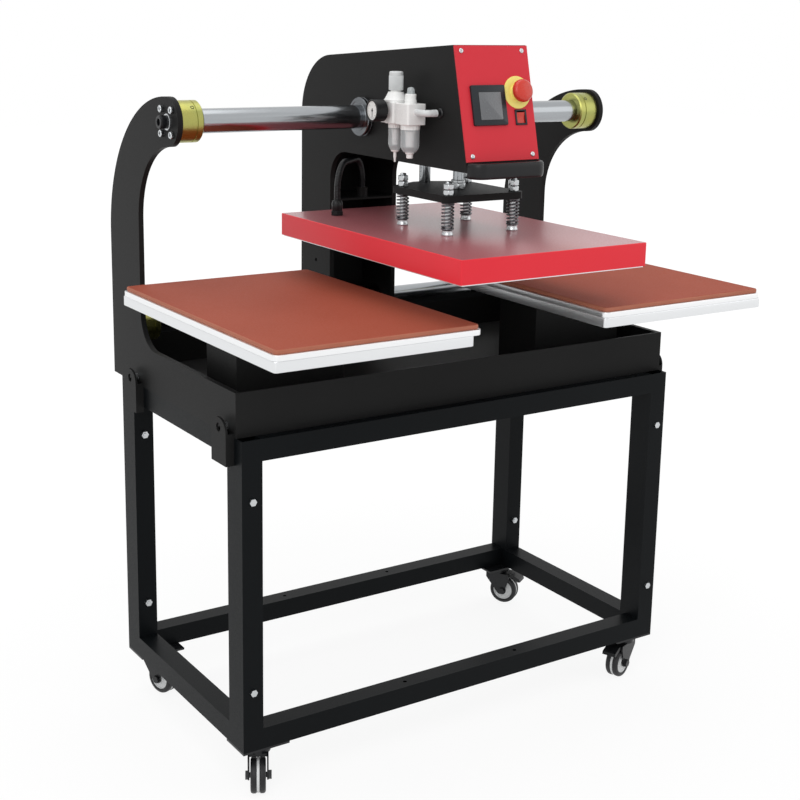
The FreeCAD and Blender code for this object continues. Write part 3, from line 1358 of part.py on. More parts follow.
estop_at = (d.estop_x, d.estop_y)
ring_top = d.panel_thick + d.estop_ring_thick
collar_top = ring_top + d.estop_collar_high
estop_ring = rod("Z", (*estop_at, d.panel_thick), d.estop_ring_thick, d.estop_ring)
estop_collar = rod("Z", (*estop_at, d.panel_thick), collar_top - d.panel_thick, d.estop_collar)
estop_neck = rod("Z", (*estop_at, -2.0), d.panel_thick + 3.0,
                 d.estop_stem + d.estop_neck_wall)
half_block = d.estop_block / 2
block_y = half_block - d.estop_block_trim
estop_contacts = block((d.estop_x - d.estop_block_half, d.estop_x + d.estop_block_half),
                       (d.estop_y - block_y, d.estop_y + block_y), (-d.estop_block, -1.0))
estop_bore = rod("Z", (*estop_at, -d.estop_deep), collar_top + d.estop_deep + 1.0,
                 d.estop_stem + d.run_clear)
node("estop_base", on_panel(cut(fuse(estop_ring, estop_collar, estop_neck, estop_contacts),
                                estop_bore)))

crown = d.estop_cap_high
button = turned([(0, -d.estop_tail), (d.estop_stem, -d.estop_tail), (d.estop_stem, d.estop_cap_low),
                 (d.estop_cap - 2.0, d.estop_cap_low), (d.estop_cap, d.estop_cap_low + 2.0),
                 (d.estop_cap, crown - d.estop_dome), (d.estop_cap - 3.0, crown - 3.0),
                 (d.estop_cap - d.estop_dome_in, crown - d.estop_dome_top), (0, crown)],
                d.estop_x, d.estop_y, 0.0)
node("estop_button", on_panel(group(button)))

switch_frame = block(switch_x, switch_y, (d.panel_thick, d.panel_thick + d.switch_proud))
switch_body = block((switch_in_x[0] + d.hole_clear, switch_in_x[1] - d.hole_clear),
                    (switch_in_y[0] + d.hole_clear, switch_in_y[1] - d.hole_clear),
                    (-d.switch_back, d.panel_thick))
rim = d.switch_wall
switch_well = block((switch_in_x[0] + rim, switch_in_x[1] - rim),
                    (switch_in_y[0] + rim, switch_in_y[1] - rim),
                    (-d.switch_well, d.panel_thick + d.switch_proud + 1.0))
pivot_z = -d.rocker_sink
pivot_length = d.switch_width - (d.switch_rim + d.hole_clear) * 2
pivot_hole = rod("X", (switch_in_x[0] + d.hole_clear, d.switch_y, pivot_z), pivot_length,
                 d.rocker_pin + d.run_clear)
node("power_switch_bezel", on_panel(cut(fuse(switch_frame, switch_body),
                                        fuse(switch_well, pivot_hole))))

key_half = d.switch_tall / 2 - d.switch_rim - rim - d.rocker_end_gap
key_foot = key_half - d.rocker_taper
key_top = d.rocker_high - d.rocker_end
rocker_corners = [(-key_foot, -d.rocker_under), (key_foot, -d.rocker_under),
                  (key_half, key_top), (0, key_top - d.rocker_dish), (-key_half, key_top)]
rocker_width = d.switch_width - (d.switch_rim + rim + d.rocker_gap) * 2
rocker_key = place(plate("YZ_Plane", rocker_corners, rocker_width), -(rocker_width / 2), 0.0, 0.0)
pin_length = pivot_length - d.rocker_play * 2
rocker_pin = rod("X", (-(pin_length / 2), 0.0, 0.0), pin_length, d.rocker_pin)
rocker = fuse(rocker_key, rocker_pin)
place(rocker, d.switch_x, d.switch_y, pivot_z, FreeCAD.Rotation(FreeCAD.Vector(1, 0, 0), 1))
bind(rocker, "Placement.Rotation.Angle", d.rocker_tilt)
node("power_rocker", on_panel(group(rocker)))

# ---------------------------------------------------------------------------
# Front handle: a bow screwed to the edge of the mounting plate
# ---------------------------------------------------------------------------
grip_y = d.head_front - d.handle_reach
bow_low = head_floor - d.handle_drop
bow_corners = [(-d.handle_half, d.head_front), (-d.handle_half, grip_y),
               (d.handle_half, grip_y), (d.handle_half, d.head_front)]
bow = place(plate("XY_Plane", bow_corners, d.handle_height, [(d.handle_bend, (1, 2))]),
            0.0, 0.0, bow_low)
inside = d.handle_half - d.handle_thick
gap_corners = [(-inside, d.head_front + 1.0), (-inside, grip_y + d.handle_thick),
               (inside, grip_y + d.handle_thick), (inside, d.head_front + 1.0)]
gap = place(plate("XY_Plane", gap_corners, d.handle_height + 2.0,
                  [(d.handle_bend - d.handle_thick, (1, 2))]), 0.0, 0.0, bow_low - 1.0)
node("front_handle", cut(bow, gap))

# ---------------------------------------------------------------------------
# Air preparation unit on the left cheek
# ---------------------------------------------------------------------------
frl_low = deck + d.frl_low
frl_high = deck + d.frl_high
frl_x = (d.frl_x - d.frl_body / 2, d.frl_x + d.frl_body / 2)
half_module = d.frl_module / 2
blocks = []
for y in (d.regulator_y, d.oiler_y):
    blocks.append(block(frl_x, (y - half_module, y + half_module), (frl_low, frl_high)))
joint_key = block((frl_x[0] + d.joint_trim, frl_x[1] - d.joint_trim),
                  (d.oiler_y + half_module - 1.0, d.regulator_y - half_module + 1.0),
                  (frl_low + d.joint_trim, frl_high - d.joint_trim))
bracket = block((frl_x[1], -d.cheek_half), (d.oiler_y, d.regulator_y),
                (frl_low + d.bracket_trim, frl_high - d.bracket_trim))
bonnet = cone("Z", (d.frl_x, d.regulator_y, frl_high), d.bonnet_height, d.bonnet_radius,
              d.bonnet_radius - d.bonnet_taper)
knob_low = deck + d.knob_low
neck = rod("Z", (d.frl_x, d.regulator_y, frl_high), knob_low + d.neck_up - frl_high,
           d.bonnet_neck)
oiler_neck = rod("Z", (d.frl_x, d.oiler_y, frl_high), d.oiler_neck_height, d.oiler_neck)
oiler_dome = rod("Z", (d.frl_x, d.oiler_y, frl_high + d.oiler_neck_height),
                 d.oiler_dome_height, d.oiler_dome)
inlet_y = d.regulator_y + half_module
inlet_z = deck + d.gauge_rise
inlet_boss = rod("Y", (d.frl_x, inlet_y, inlet_z), d.boss_proud, d.port_boss)
inlet_port = rod("-Y", (d.frl_x, inlet_y + d.boss_proud, inlet_z), d.port_depth, d.port_radius)
node("frl_body", cut(fuse(*blocks, joint_key, bracket, bonnet, neck, oiler_neck, oiler_dome,
                          inlet_boss), inlet_port))

knob_bore = d.bonnet_neck + d.fit_clear
knob_in = d.knob_height - d.knob_cap
knob = turned([(knob_bore, 0), (d.knob_radius, 0), (d.knob_radius, d.knob_height - d.knob_round),
               (d.knob_radius - d.knob_round, d.knob_height), (0, d.knob_height),
               (0, knob_in), (knob_bore, knob_in)], d.frl_x, d.regulator_y, knob_low)
node("regulator_knob", knob)


def bowl(y, radius, foot_radius, foot_length):
    """A clear bowl with a tapered bottom and a fitting under it."""
    narrow = radius * d.bowl_narrow
    wall = d.bowl_wall
    low = -d.bowl_height
    taper = low + d.bowl_taper
    return turned([(0, low - foot_length), (foot_radius, low - foot_length), (foot_radius, low),
                   (narrow, low), (radius, taper), (radius, 0),
                   (radius - wall, 0), (radius - wall, taper),
                   (narrow - wall, low + wall), (0, low + wall)], d.frl_x, y, frl_low)


node("frl_bowls", group(
    bowl(d.regulator_y, d.filter_bowl_radius, d.drain_radius, d.drain_length),
    bowl(d.oiler_y, d.oiler_bowl_radius, d.plug_radius, d.plug_length)))

gauge_x = d.frl_x - d.gauge_out
gauge_at = (gauge_x, d.regulator_y, deck + d.gauge_rise)
face = d.gauge_face
gauge = turned([(0, face), (d.gauge_radius - d.gauge_rim, face),
                (d.gauge_radius - d.gauge_rim, 0), (d.gauge_radius - d.gauge_bevel, 0),
                (d.gauge_radius, d.gauge_bevel), (d.gauge_radius, d.gauge_deep),
                (d.gauge_stem, d.gauge_deep), (d.gauge_stem, d.gauge_out - d.frl_body / 2),
                (0, d.gauge_out - d.frl_body / 2)], *gauge_at, axis="X")
needle_hole = rod("X", (gauge_x + face, d.regulator_y, deck + d.gauge_rise),
                  d.needle_sink, d.needle_hub + d.run_clear)
node("gauge_case", cut(gauge, needle_hole))

needle_high = gauge_x + face - d.needle_gap
needle_x = (needle_high - d.needle_thick, needle_high)
pointer = block(needle_x, (d.regulator_y - d.needle_half, d.regulator_y + d.needle_half),
                (inlet_z - d.needle_length, inlet_z + d.needle_tail))
needle_hub = rod("X", (needle_x[0] - d.needle_cap, d.regulator_y, inlet_z), d.needle_sink,
                 d.needle_hub)
node("gauge_needle", fuse(pointer, needle_hub))

outlet_z = deck + d.outlet_rise
oiler_face = d.oiler_y - half_module
elbow_end = d.frl_x + d.outlet_reach
elbow = fuse(
    rod("-Y", (d.frl_x, oiler_face, outlet_z), oiler_face - d.outlet_y + d.outlet_radius,
        d.outlet_radius),
    rod("X", (d.frl_x, d.outlet_y, outlet_z), d.outlet_reach, d.outlet_radius),
)
hose_length = d.hose_inside - cheek_inside - elbow_end
hose = rod("X", (elbow_end, d.outlet_y, outlet_z), hose_length, d.hose_radius)
grommet_x = -(d.cheek_half + d.grommet_proud)
grommet = cut(rod("X", (grommet_x, d.outlet_y, outlet_z), d.grommet_proud, d.grommet_radius),
              rod("X", (grommet_x - 1.0, d.outlet_y, outlet_z), d.grommet_proud + 2.0,
                  d.hose_radius + d.fit_clear))
node("air_outlet_fitting", group(elbow, hose, grommet))

# ---------------------------------------------------------------------------
# Check every object, then write one file per sub-part
# ---------------------------------------------------------------------------
doc.recompute()
for thing in doc.Objects:
    if "Invalid" in thing.State or "Error" in thing.State:
        raise SystemExit(f"{thing.Label} ({thing.TypeId}) failed: {thing.State}")
labels = [thing.Label for thing in nodes]
if len(set(labels)) != len(labels) or len(labels) > 60:
    raise SystemExit(f"{len(labels)} nodes, {len(set(labels))} names")
for thing in nodes:
    if thing.Shape.isNull() or not thing.Shape.isValid() or not thing.Shape.Solids:
        raise SystemExit(f"{thing.Label} has no valid shape")

os.makedirs("parts", exist_ok=True)
for thing in nodes:
    thing.Shape.exportStep(f"parts/{thing.Label}.step")
print(f"{len(nodes)} nodes written")
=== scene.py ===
"""Looks of a twin-station pneumatic heat press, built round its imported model.

Shapes are worked out in millimetres in a local frame and placed in metres.
Curved pieces are grids or turned profiles made as whole numpy arrays.
"""

from __future__ import annotations

import json
import logging
import math
from dataclasses import dataclass, field
from enum import Enum
from typing import Any, Sequence

import bmesh
import bpy
import numpy as np
from mathutils import Matrix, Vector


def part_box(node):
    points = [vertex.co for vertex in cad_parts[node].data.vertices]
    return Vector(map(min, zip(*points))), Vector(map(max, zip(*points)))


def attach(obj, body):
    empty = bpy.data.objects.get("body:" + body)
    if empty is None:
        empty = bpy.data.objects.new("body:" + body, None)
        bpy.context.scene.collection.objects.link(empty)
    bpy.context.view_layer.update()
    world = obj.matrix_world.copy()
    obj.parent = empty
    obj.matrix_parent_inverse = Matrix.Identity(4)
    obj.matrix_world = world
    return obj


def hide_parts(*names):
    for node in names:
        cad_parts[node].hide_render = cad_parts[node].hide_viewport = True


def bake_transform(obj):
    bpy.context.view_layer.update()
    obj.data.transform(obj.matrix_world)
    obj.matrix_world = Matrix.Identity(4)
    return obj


LOG = logging.getLogger("heat_press")
MM = 0.001
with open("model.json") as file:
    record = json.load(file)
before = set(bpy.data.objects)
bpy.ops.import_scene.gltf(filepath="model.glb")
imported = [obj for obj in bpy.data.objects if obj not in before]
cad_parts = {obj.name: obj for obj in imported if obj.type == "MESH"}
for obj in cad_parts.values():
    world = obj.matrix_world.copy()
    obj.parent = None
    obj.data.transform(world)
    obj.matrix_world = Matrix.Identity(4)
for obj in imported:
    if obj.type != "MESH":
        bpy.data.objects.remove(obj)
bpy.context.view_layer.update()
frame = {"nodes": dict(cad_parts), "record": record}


# ---------------------------------------------------------------------------
# Colours and shader nodes
# ---------------------------------------------------------------------------
def linear(code: str, alpha: float = 1.0) -> tuple[float, float, float, float]:
    """Turns an sRGB hex colour into the linear colour that shaders use.

    Args:
        code: Six hex digits.
        alpha: Opacity to carry along.

    Returns:
        Linear red, green, blue and the alpha.
    """
    channels = [int(code[i : i + 2], 16) / 255 for i in (0, 2, 4)]
    flat = [c / 12.92 if c <= 0.04045 else ((c + 0.055) / 1.055) ** 2.4 for c in channels]
    return (flat[0], flat[1], flat[2], alpha)


def add(
    tree: bpy.types.NodeTree, kind: str, links: dict[Any, Any] | None = None, **settings: Any
) -> bpy.types.Node:
    """Adds one shader node with its settings and links.

    Args:
        tree: The node tree to add to.
        kind: The node's class name without "ShaderNode".
        links: Input name or number to a value or to another node's output socket.
        **settings: Properties of the node itself.

    Returns:
        The new node.
    """
    node = tree.nodes.new("ShaderNode" + kind)
    for name, value in settings.items():
        setattr(node, name, value)
    for key, value in (links or {}).items():
        if isinstance(value, bpy.types.NodeSocket):
            tree.links.new(value, node.inputs[key])
        else:
            node.inputs[key].default_value = value
    return node


@dataclass(frozen=True)
class Finish:
    """A surface finish: one Principled shader with a grain, a tint and fine relief.

    The tint is a slow noise that runs between two close colours; the relief is a fast noise
    whose cell size is a real size in millimetres.
    """

    name: str
    colour: str
    shade: str
    roughness: float
    metallic: float = 0.0
    grain_mm: float = 2.0
    relief_mm: float = 0.02
    mottle_mm: float = 60.0
    stretch: tuple[float, float, float] = (1.0, 1.0, 1.0)
    coat: float = 0.0
    coat_roughness: float = 0.1
    ior: float = 1.5
    rough_swing: float = 0.08
    transmission: float = 0.0
    alpha: float = 1.0
    specular: float = 0.5
    sheen: float = 0.0

    def make(self) -> bpy.types.Material:
        """Builds the material, or finds the one already built.

        Returns:
            The material, which every piece of this finish shares.
        """
        found = bpy.data.materials.get(self.name)
        if found:
            return found
        material = bpy.data.materials.new(self.name)
        material.use_nodes = True
        tree = material.node_tree
        shader = tree.nodes["Principled BSDF"]
        place = add(tree, "TexCoord")
        scaled = add(tree, "Mapping", {"Vector": place.outputs["Object"], "Scale": self.stretch})
        slow = add(
            tree, "TexNoise",
            {"Vector": scaled.outputs[0], "Scale": 1000 / self.mottle_mm, "Detail": 3.0},
        )
        fine = add(
            tree, "TexNoise",
            {"Vector": scaled.outputs[0], "Scale": 1000 / self.grain_mm, "Detail": 2.0},
        )
        tint = add(
            tree, "Mix",
            {0: slow.outputs["Fac"], 6: linear(self.colour), 7: linear(self.shade)},
            data_type="RGBA",
        )
        rough = add(
            tree, "MapRange",
            {
                "Value": fine.outputs["Fac"],
                "From Min": 0.3,
                "From Max": 0.7,
                "To Min": max(0.02, self.roughness - self.rough_swing),
                "To Max": min(1.0, self.roughness + self.rough_swing),
            },
        )
        bump = add(
            tree, "Bump",
            {"Height": fine.outputs["Fac"], "Distance": self.relief_mm * MM, "Strength": 1.0},
        )
        tree.links.new(tint.outputs[2], shader.inputs["Base Color"])
        tree.links.new(rough.outputs[0], shader.inputs["Roughness"])
        tree.links.new(bump.outputs[0], shader.inputs["Normal"])
        shader.inputs["Metallic"].default_value = self.metallic
        shader.inputs["IOR"].default_value = self.ior
        shader.inputs["Coat Weight"].default_value = self.coat
        shader.inputs["Coat Roughness"].default_value = self.coat_roughness
        shader.inputs["Transmission Weight"].default_value = self.transmission
        shader.inputs["Alpha"].default_value = self.alpha
        shader.inputs["Sheen Weight"].default_value = self.sheen
        shader.inputs["Specular IOR Level"].default_value = self.specular
        material.diffuse_color = linear(self.colour)
        return material


# Epoxy-polyester powder coat, baked on steel: even black with an orange-peel of about 1.5 mm.
BLACK_POWDER = Finish(
    "powder_coat_black", "1c1c1c", "222222", 0.48, grain_mm=1.6, relief_mm=0.02, mottle_mm=240,
    specular=0.08,
)
# The same coat on the stand's tube, smoother and a little blue.
STAND_POWDER = Finish(
    "powder_coat_blue_black", "0a0c0e", "111416", 0.42, grain_mm=2.0, relief_mm=0.015,
    mottle_mm=300, specular=0.08,
)
# Gloss red polyester powder on the platen's cover.
RED_POWDER = Finish(
    "powder_coat_signal_red", "ea2a38", "ee3340", 0.36, grain_mm=2.4, relief_mm=0.01,
    mottle_mm=260, coat=0.06, coat_roughness=0.2, specular=0.25,
)
# The panel has the same red with a finer, satin grain.
PANEL_RED = Finish(
    "powder_coat_satin_red", "d42b38", "da323f", 0.4, grain_mm=1.8, relief_mm=0.008,
    mottle_mm=180, specular=0.25,
)
# The cover's top face is a paler mauve red than its sides: a painted reflection of the bright room
# on the gloss, with a broad painted drift between darker and paler; a thin lacquer over it mirrors
# softly.
RED_TOP_PAINTED_REFLECTION = Finish(
    "lacquered_dusty_red", "a75b61", "b26a6f", 0.4, grain_mm=3.0, relief_mm=0.006,
    mottle_mm=320, coat=0.45, coat_roughness=0.24, rough_swing=0.06,
)
# Hard chrome on ground bar: a soft mirror, with the faint lengthwise lines of the lap.
CHROME = Finish(
    "hard_chrome_on_ground_steel", "aaadaf", "9da1a5", 0.2, metallic=1.0, grain_mm=1.0,
    relief_mm=0.001, mottle_mm=90, stretch=(0.03, 1.0, 1.0), rough_swing=0.05,
)
# Bearing steel, turned and oiled: a grey mirror, darker than the plated bars.
BEARING_STEEL = Finish(
    "oiled_bearing_steel", "6f7275", "63666a", 0.26, metallic=1.0, grain_mm=0.8,
    relief_mm=0.002, mottle_mm=30,
)
# Bright zinc plate on turned fasteners.
ZINC = Finish(
    "bright_zinc_plate", "cfd1d2", "b7bbbe", 0.28, metallic=1.0, grain_mm=0.8, relief_mm=0.003,
    mottle_mm=12,
)
# Yellow chromate over zinc: olive gold with a green drift.
YELLOW_ZINC = Finish(
    "yellow_chromate_zinc", "b4ac5a", "97a064", 0.32, metallic=1.0, grain_mm=0.9,
    relief_mm=0.003, mottle_mm=40,
)
# Drawn spring wire, oiled.
SPRING_WIRE = Finish(
    "oiled_spring_steel", "77777a", "5c5e62", 0.34, metallic=1.0, grain_mm=0.8, relief_mm=0.002,
    mottle_mm=10,
)
# Sand-cast aluminium, machined flat: satin grey-white with small pits.
CAST_ALUMINIUM = Finish(
    "cast_aluminium", "e0e2e3", "d0d3d5", 0.44, metallic=0.35, grain_mm=1.6, relief_mm=0.02,
    mottle_mm=80,
)
# Milled and bead-blasted aluminium plate, bright.
MILLED_ALUMINIUM = Finish(
    "milled_aluminium", "e8eaeb", "dbdee0", 0.36, metallic=0.35, grain_mm=1.2, relief_mm=0.006,
    mottle_mm=120,
)
# Closed-cell silicone sponge, moulded against cloth: matt brick red with fine grain.
SILICONE = Finish(
    "silicone_sponge", "a85039", "99442d", 0.7, grain_mm=2.2, relief_mm=0.08, mottle_mm=180,
    specular=0.3,
)
# The sponge's sides and rounded edge are paler than its top.
SILICONE_EDGE = Finish(
    "silicone_sponge_cut_edge", "b9765f", "a86049", 0.66, grain_mm=1.5, relief_mm=0.06,
    mottle_mm=60, specular=0.3,
)
# Hard polyurethane tread, moulded: satin black.
TREAD = Finish(
    "polyurethane_tread", "1c1c1e", "262628", 0.5, grain_mm=1.2, relief_mm=0.03, mottle_mm=40,
    specular=0.35,
)
# Moulded polypropylene hub: pale and a little waxy.
HUB = Finish(
    "polypropylene_hub", "eeefef", "e2e4e5", 0.4, grain_mm=1.4, relief_mm=0.01, mottle_mm=30
)
# Black zinc on pressed steel: satin black with grey highlights.
BLACK_ZINC = Finish(
    "black_zinc_on_steel", "131416", "1d1e21", 0.32, metallic=0.1, grain_mm=1.2,
    relief_mm=0.006, mottle_mm=24, specular=0.35,
)
# Glass-filled nylon, spark-eroded mould texture: even satin black.
BLACK_NYLON = Finish(
    "moulded_black_nylon", "0e0f11", "151618", 0.34, grain_mm=1.0, relief_mm=0.012,
    mottle_mm=60, specular=0.3,
)
# Painted zinc die casting of the air unit: gloss white.
WHITE_CASTING = Finish(
    "painted_die_casting", "fbfbfa", "f3f3f1", 0.3, grain_mm=1.8, relief_mm=0.012, mottle_mm=40,
    coat=0.2,
)
# Polycarbonate bowl: clear with a little grey.
POLYCARBONATE = Finish(
    "clear_polycarbonate", "edf3f4", "dfe7ea", 0.08, grain_mm=4.0, relief_mm=0.003, mottle_mm=30,
    alpha=0.42, ior=1.58, coat=0.5,
)
# Moulded ABS of the regulator's knob: pale grey with sharp ribs.
GREY_ABS = Finish(
    "moulded_grey_abs", "e0e2e2", "cfd2d3", 0.42, grain_mm=1.0, relief_mm=0.01, mottle_mm=14
)
# Moulded red ABS: glossy where fingers press.
RED_ABS = Finish(
    "moulded_red_abs", "d93a28", "c92f1f", 0.3, grain_mm=1.6, relief_mm=0.006, mottle_mm=24,
    coat=0.25, specular=0.4,
)
# Moulded yellow ABS disc: satin.
YELLOW_ABS = Finish(
    "moulded_yellow_abs", "fdf28e", "f8ea7c", 0.42, grain_mm=1.6, relief_mm=0.008,
    mottle_mm=30, specular=0.3,
)
# Moulded ABS frame of the screen: blue-black satin.
BEZEL = Finish(
    "moulded_blue_black_abs", "171c21", "1f252b", 0.34, grain_mm=1.2, relief_mm=0.008,
    mottle_mm=40, specular=0.35,
)
# Unlit liquid-crystal panel under hardened glass: flat grey with a thin gloss.
SCREEN_GLASS = Finish(
    "unlit_display_glass", "606265", "6b6d70", 0.24, grain_mm=6.0, relief_mm=0.001,
    mottle_mm=40, coat=0.25, coat_roughness=0.12,
)
# Printed paper dial: matt white.
DIAL_WHITE = Finish(
    "printed_dial", "f4f4f2", "ecece9", 0.5, grain_mm=2.0, relief_mm=0.001, mottle_mm=20
)
# Corrugated polyamide conduit: satin black.
CONDUIT = Finish(
    "corrugated_polyamide", "131416", "1b1c1e", 0.38, grain_mm=1.2, relief_mm=0.01,
    mottle_mm=30, specular=0.35,
)


# ---------------------------------------------------------------------------
# Shapes as numpy arrays
# ---------------------------------------------------------------------------
@dataclass
class Seat:
    """Where a local millimetre frame sits in the machine, and which way it faces."""

    origin: np.ndarray
    basis: np.ndarray = field(default_factory=lambda: np.eye(3))

    def place(self, points: np.ndarray) -> np.ndarray:
        """Local millimetres to metres in the machine's frame: the origin plus turned points."""
        return np.asarray(self.origin, float) + points.reshape(-1, 3) @ self.basis.T * MM


def facing(
    origin: Sequence[float], axis: Sequence[float], up: Sequence[float] = (0, 0, 1)
) -> Seat:
    """A seat whose local Z runs along an axis.

    Args:
        origin: The seat's place in metres.
        axis: Direction of local Z.
        up: A direction that local Y leans towards.

    Returns:
        The seat.
    """
    z = np.asarray(axis, float) / np.linalg.norm(axis)
    hint = np.asarray(up, float)
    if abs(z @ hint) > 0.99:
        hint = np.array([0.0, 1.0, 0.0])
    x = np.cross(hint, z)
    x /= np.linalg.norm(x)
    return Seat(np.asarray(origin, float), np.stack([x, np.cross(z, x), z], axis=1))


class Form:
    """Collects closed surfaces of several finishes and makes them one piece."""

    def __init__(self, name: str) -> None:
        """Starts an empty piece.

        Args:
            name: The name of its object.
        """
        self.name = name
        self.points: list[np.ndarray] = []
        self.faces: list[list[int]] = []
        self.slots: list[int] = []
        self.finishes: list[Finish] = []
        self.count = 0

    def slot(self, finish: Finish) -> int:
        """The material slot of a finish, added when it is new."""
        if finish not in self.finishes:
            self.finishes.append(finish)
        return self.finishes.index(finish)

    def grid(
        self, points: np.ndarray, finish: Finish, seat: Seat | None = None,
        closed: bool = True, caps: bool = True, cap_finish: Finish | None = None,
    ) -> None:
        """Adds rings of points joined by quads.

        Args:
            points: Array of rings, points round each ring, and 3.
            finish: Finish of the sides.
            seat: Where the local frame sits; the points are metres when it is left out.
            closed: Whether each ring joins its own start.
            caps: Whether the first and last ring are filled.
            cap_finish: Another finish for the last ring's cap.
        """
        rings, around = points.shape[:2]
        placed = seat.place(points) if seat else points.reshape(-1, 3)
        index = np.arange(rings * around).reshape(rings, around) + self.count
        step = np.roll(index, -1, axis=1) if closed else index[:, 1:]
        here = index if closed else index[:, :-1]
        quads = np.stack([here[:-1], step[:-1], step[1:], here[1:]], axis=-1).reshape(-1, 4)
        self.faces += quads.tolist()
        self.slots += [self.slot(finish)] * len(quads)
        if caps:
            self.faces += [index[0][::-1].tolist(), index[-1].tolist()]
            self.slots += [self.slot(finish), self.slot(cap_finish or finish)]
        self.points.append(placed)
        self.count += rings * around

    def turned(
        self, profile: Sequence[tuple[float, float]], finish: Finish, seat: Seat,
        around: int = 64, ribs: int = 0, rib_depth: float = 0.0,
    ) -> None:
        """Adds a turned shape: each (radius, height) becomes a circle about local Z.

        A profile that starts and ends off the axis is closed into a ring; one with a single
        end off the axis is carried to the axis at that height.

        Args:
            profile: Radius and height pairs from the bottom to the top.
            finish: Finish of the surface.
            seat: Where local Z stands.
            around: Points round the axis.
            ribs: Number of ribs round the axis; the radius swings by a cosine of the angle.
            rib_depth: Depth of those ribs.
        """
        line = list(profile)
        starts_off, ends_off = line[0][0] > 0, line[-1][0] > 0
        if starts_off and ends_off:
            line += [line[0]] if line[0] != line[-1] else []
        elif starts_off:
            line.insert(0, (0.0, line[0][1]))
        elif ends_off:
            line.append((0.0, line[-1][1]))
        angle = np.linspace(0, 2 * math.pi, around, endpoint=False)
        radius, height = np.asarray(line, float).T
        wave = rib_depth * 0.5 * (np.cos(angle * ribs) - 1) if ribs else np.zeros(around)
        reach = np.where(radius[:, None] > 0.5, radius[:, None] + wave, radius[:, None])
        points = np.stack(
            [reach * np.cos(angle), reach * np.sin(angle), np.repeat(height[:, None], around, 1)],
            axis=-1,
        )
        self.grid(points, finish, seat, caps=False)

    def slab(
        self, half_x: float, half_y: float, corner: float, profile: Sequence[tuple[float, float]],
        finish: Finish, seat: Seat, top_finish: Finish | None = None, around: int = 40,
    ) -> None:
        """Adds a rounded rectangle carried up a profile of (inset, height) pairs.

        A point of the outline is the corner's centre plus the corner radius along its angle;
        both shrink with the inset.

        Args:
            half_x: Half the size along local X.
            half_y: Half the size along local Y.
            corner: Corner radius.
            profile: Inset and height pairs from the bottom to the top.
            finish: Finish of the sides and the bottom.
            seat: Where the local frame sits.
            top_finish: Finish of the top face.
            around: Points round the outline, a multiple of four.
        """
        quarter = around // 4
        angle = np.concatenate(
            [np.linspace(k, k + 1, quarter) * math.pi / 2 for k in range(4)]
        )
        sign_x = np.repeat([1, -1, -1, 1], quarter)
        sign_y = np.repeat([1, 1, -1, -1], quarter)
        inset, height = np.asarray(profile, float).T
        radius = np.maximum(corner - inset, 0.05)[:, None]
        x = sign_x * (half_x - inset[:, None] - radius) + radius * np.cos(angle)
        y = sign_y * (half_y - inset[:, None] - radius) + radius * np.sin(angle)
        points = np.stack([x, y, np.repeat(height[:, None], len(angle), 1)], axis=-1)
        self.grid(points, finish, seat, cap_finish=top_finish)

    def hexagon(
        self, radius: float, low: float, high: float, finish: Finish, seat: Seat,
        chamfer: float = 1.0,
    ) -> None:
        """Adds a nut or bolt head: the lesser of a hexagon and a cone at each height.

        Args:
            radius: Radius to the corners.
            low: Lower face along local Z.
            high: Upper face.
            finish: Its finish.
            seat: Where it sits.
            chamfer: Height over which the corners are turned off.
        """
        angle = np.linspace(0, 2 * math.pi, 48, endpoint=False)
        flat = radius * math.cos(math.pi / 6)
        six = flat / np.cos((angle % (math.pi / 3)) - math.pi / 6)
        heights = np.array([low, low + chamfer * 0.5, low + chamfer, high - chamfer,
                            high - chamfer * 0.5, high])
        edge = np.minimum(heights - low, high - heights) / chamfer
        limit = flat + (radius - flat) * np.clip(edge, 0, 1) - 0.15 * flat * (edge <= 0)
        reach = np.minimum(six[None, :], limit[:, None] + 0.001)
        points = np.stack(
            [reach * np.cos(angle), reach * np.sin(angle), np.repeat(heights[:, None], 48, 1)],
            axis=-1,
        )
        self.grid(points, finish, seat)

    def tube(
        self, path: np.ndarray, radius: np.ndarray | float, finish: Finish,
        around: int = 20, plane: Sequence[float] = (0.0, 0.0, 1.0),
    ) -> None:
        """Adds a round section carried along a path.

        At each point the section's first axis is the tangent crossed with a fixed direction
        that the path never follows, and the second is the tangent crossed with the first.

        Args:
            path: Points along the middle line, in metres.
            radius: Radius in metres, one or one for each point.
            finish: Its finish.
            around: Points round the section.
            plane: The fixed direction, such as the normal of the plane the path lies in.
        """
        tangent = np.gradient(path, axis=0)
        tangent /= np.linalg.norm(tangent, axis=1)[:, None]
        side = np.cross(tangent, np.asarray(plane, float))
        side /= np.linalg.norm(side, axis=1)[:, None]
        other = np.cross(tangent, side)
        angle = np.linspace(0, 2 * math.pi, around, endpoint=False)
        reach = np.broadcast_to(np.asarray(radius, float), (len(path),))[:, None, None]
        points = path[:, None, :] + reach * (
            np.cos(angle)[None, :, None] * side[:, None, :]
            + np.sin(angle)[None, :, None] * other[:, None, :]
        )
        self.grid(points, finish)

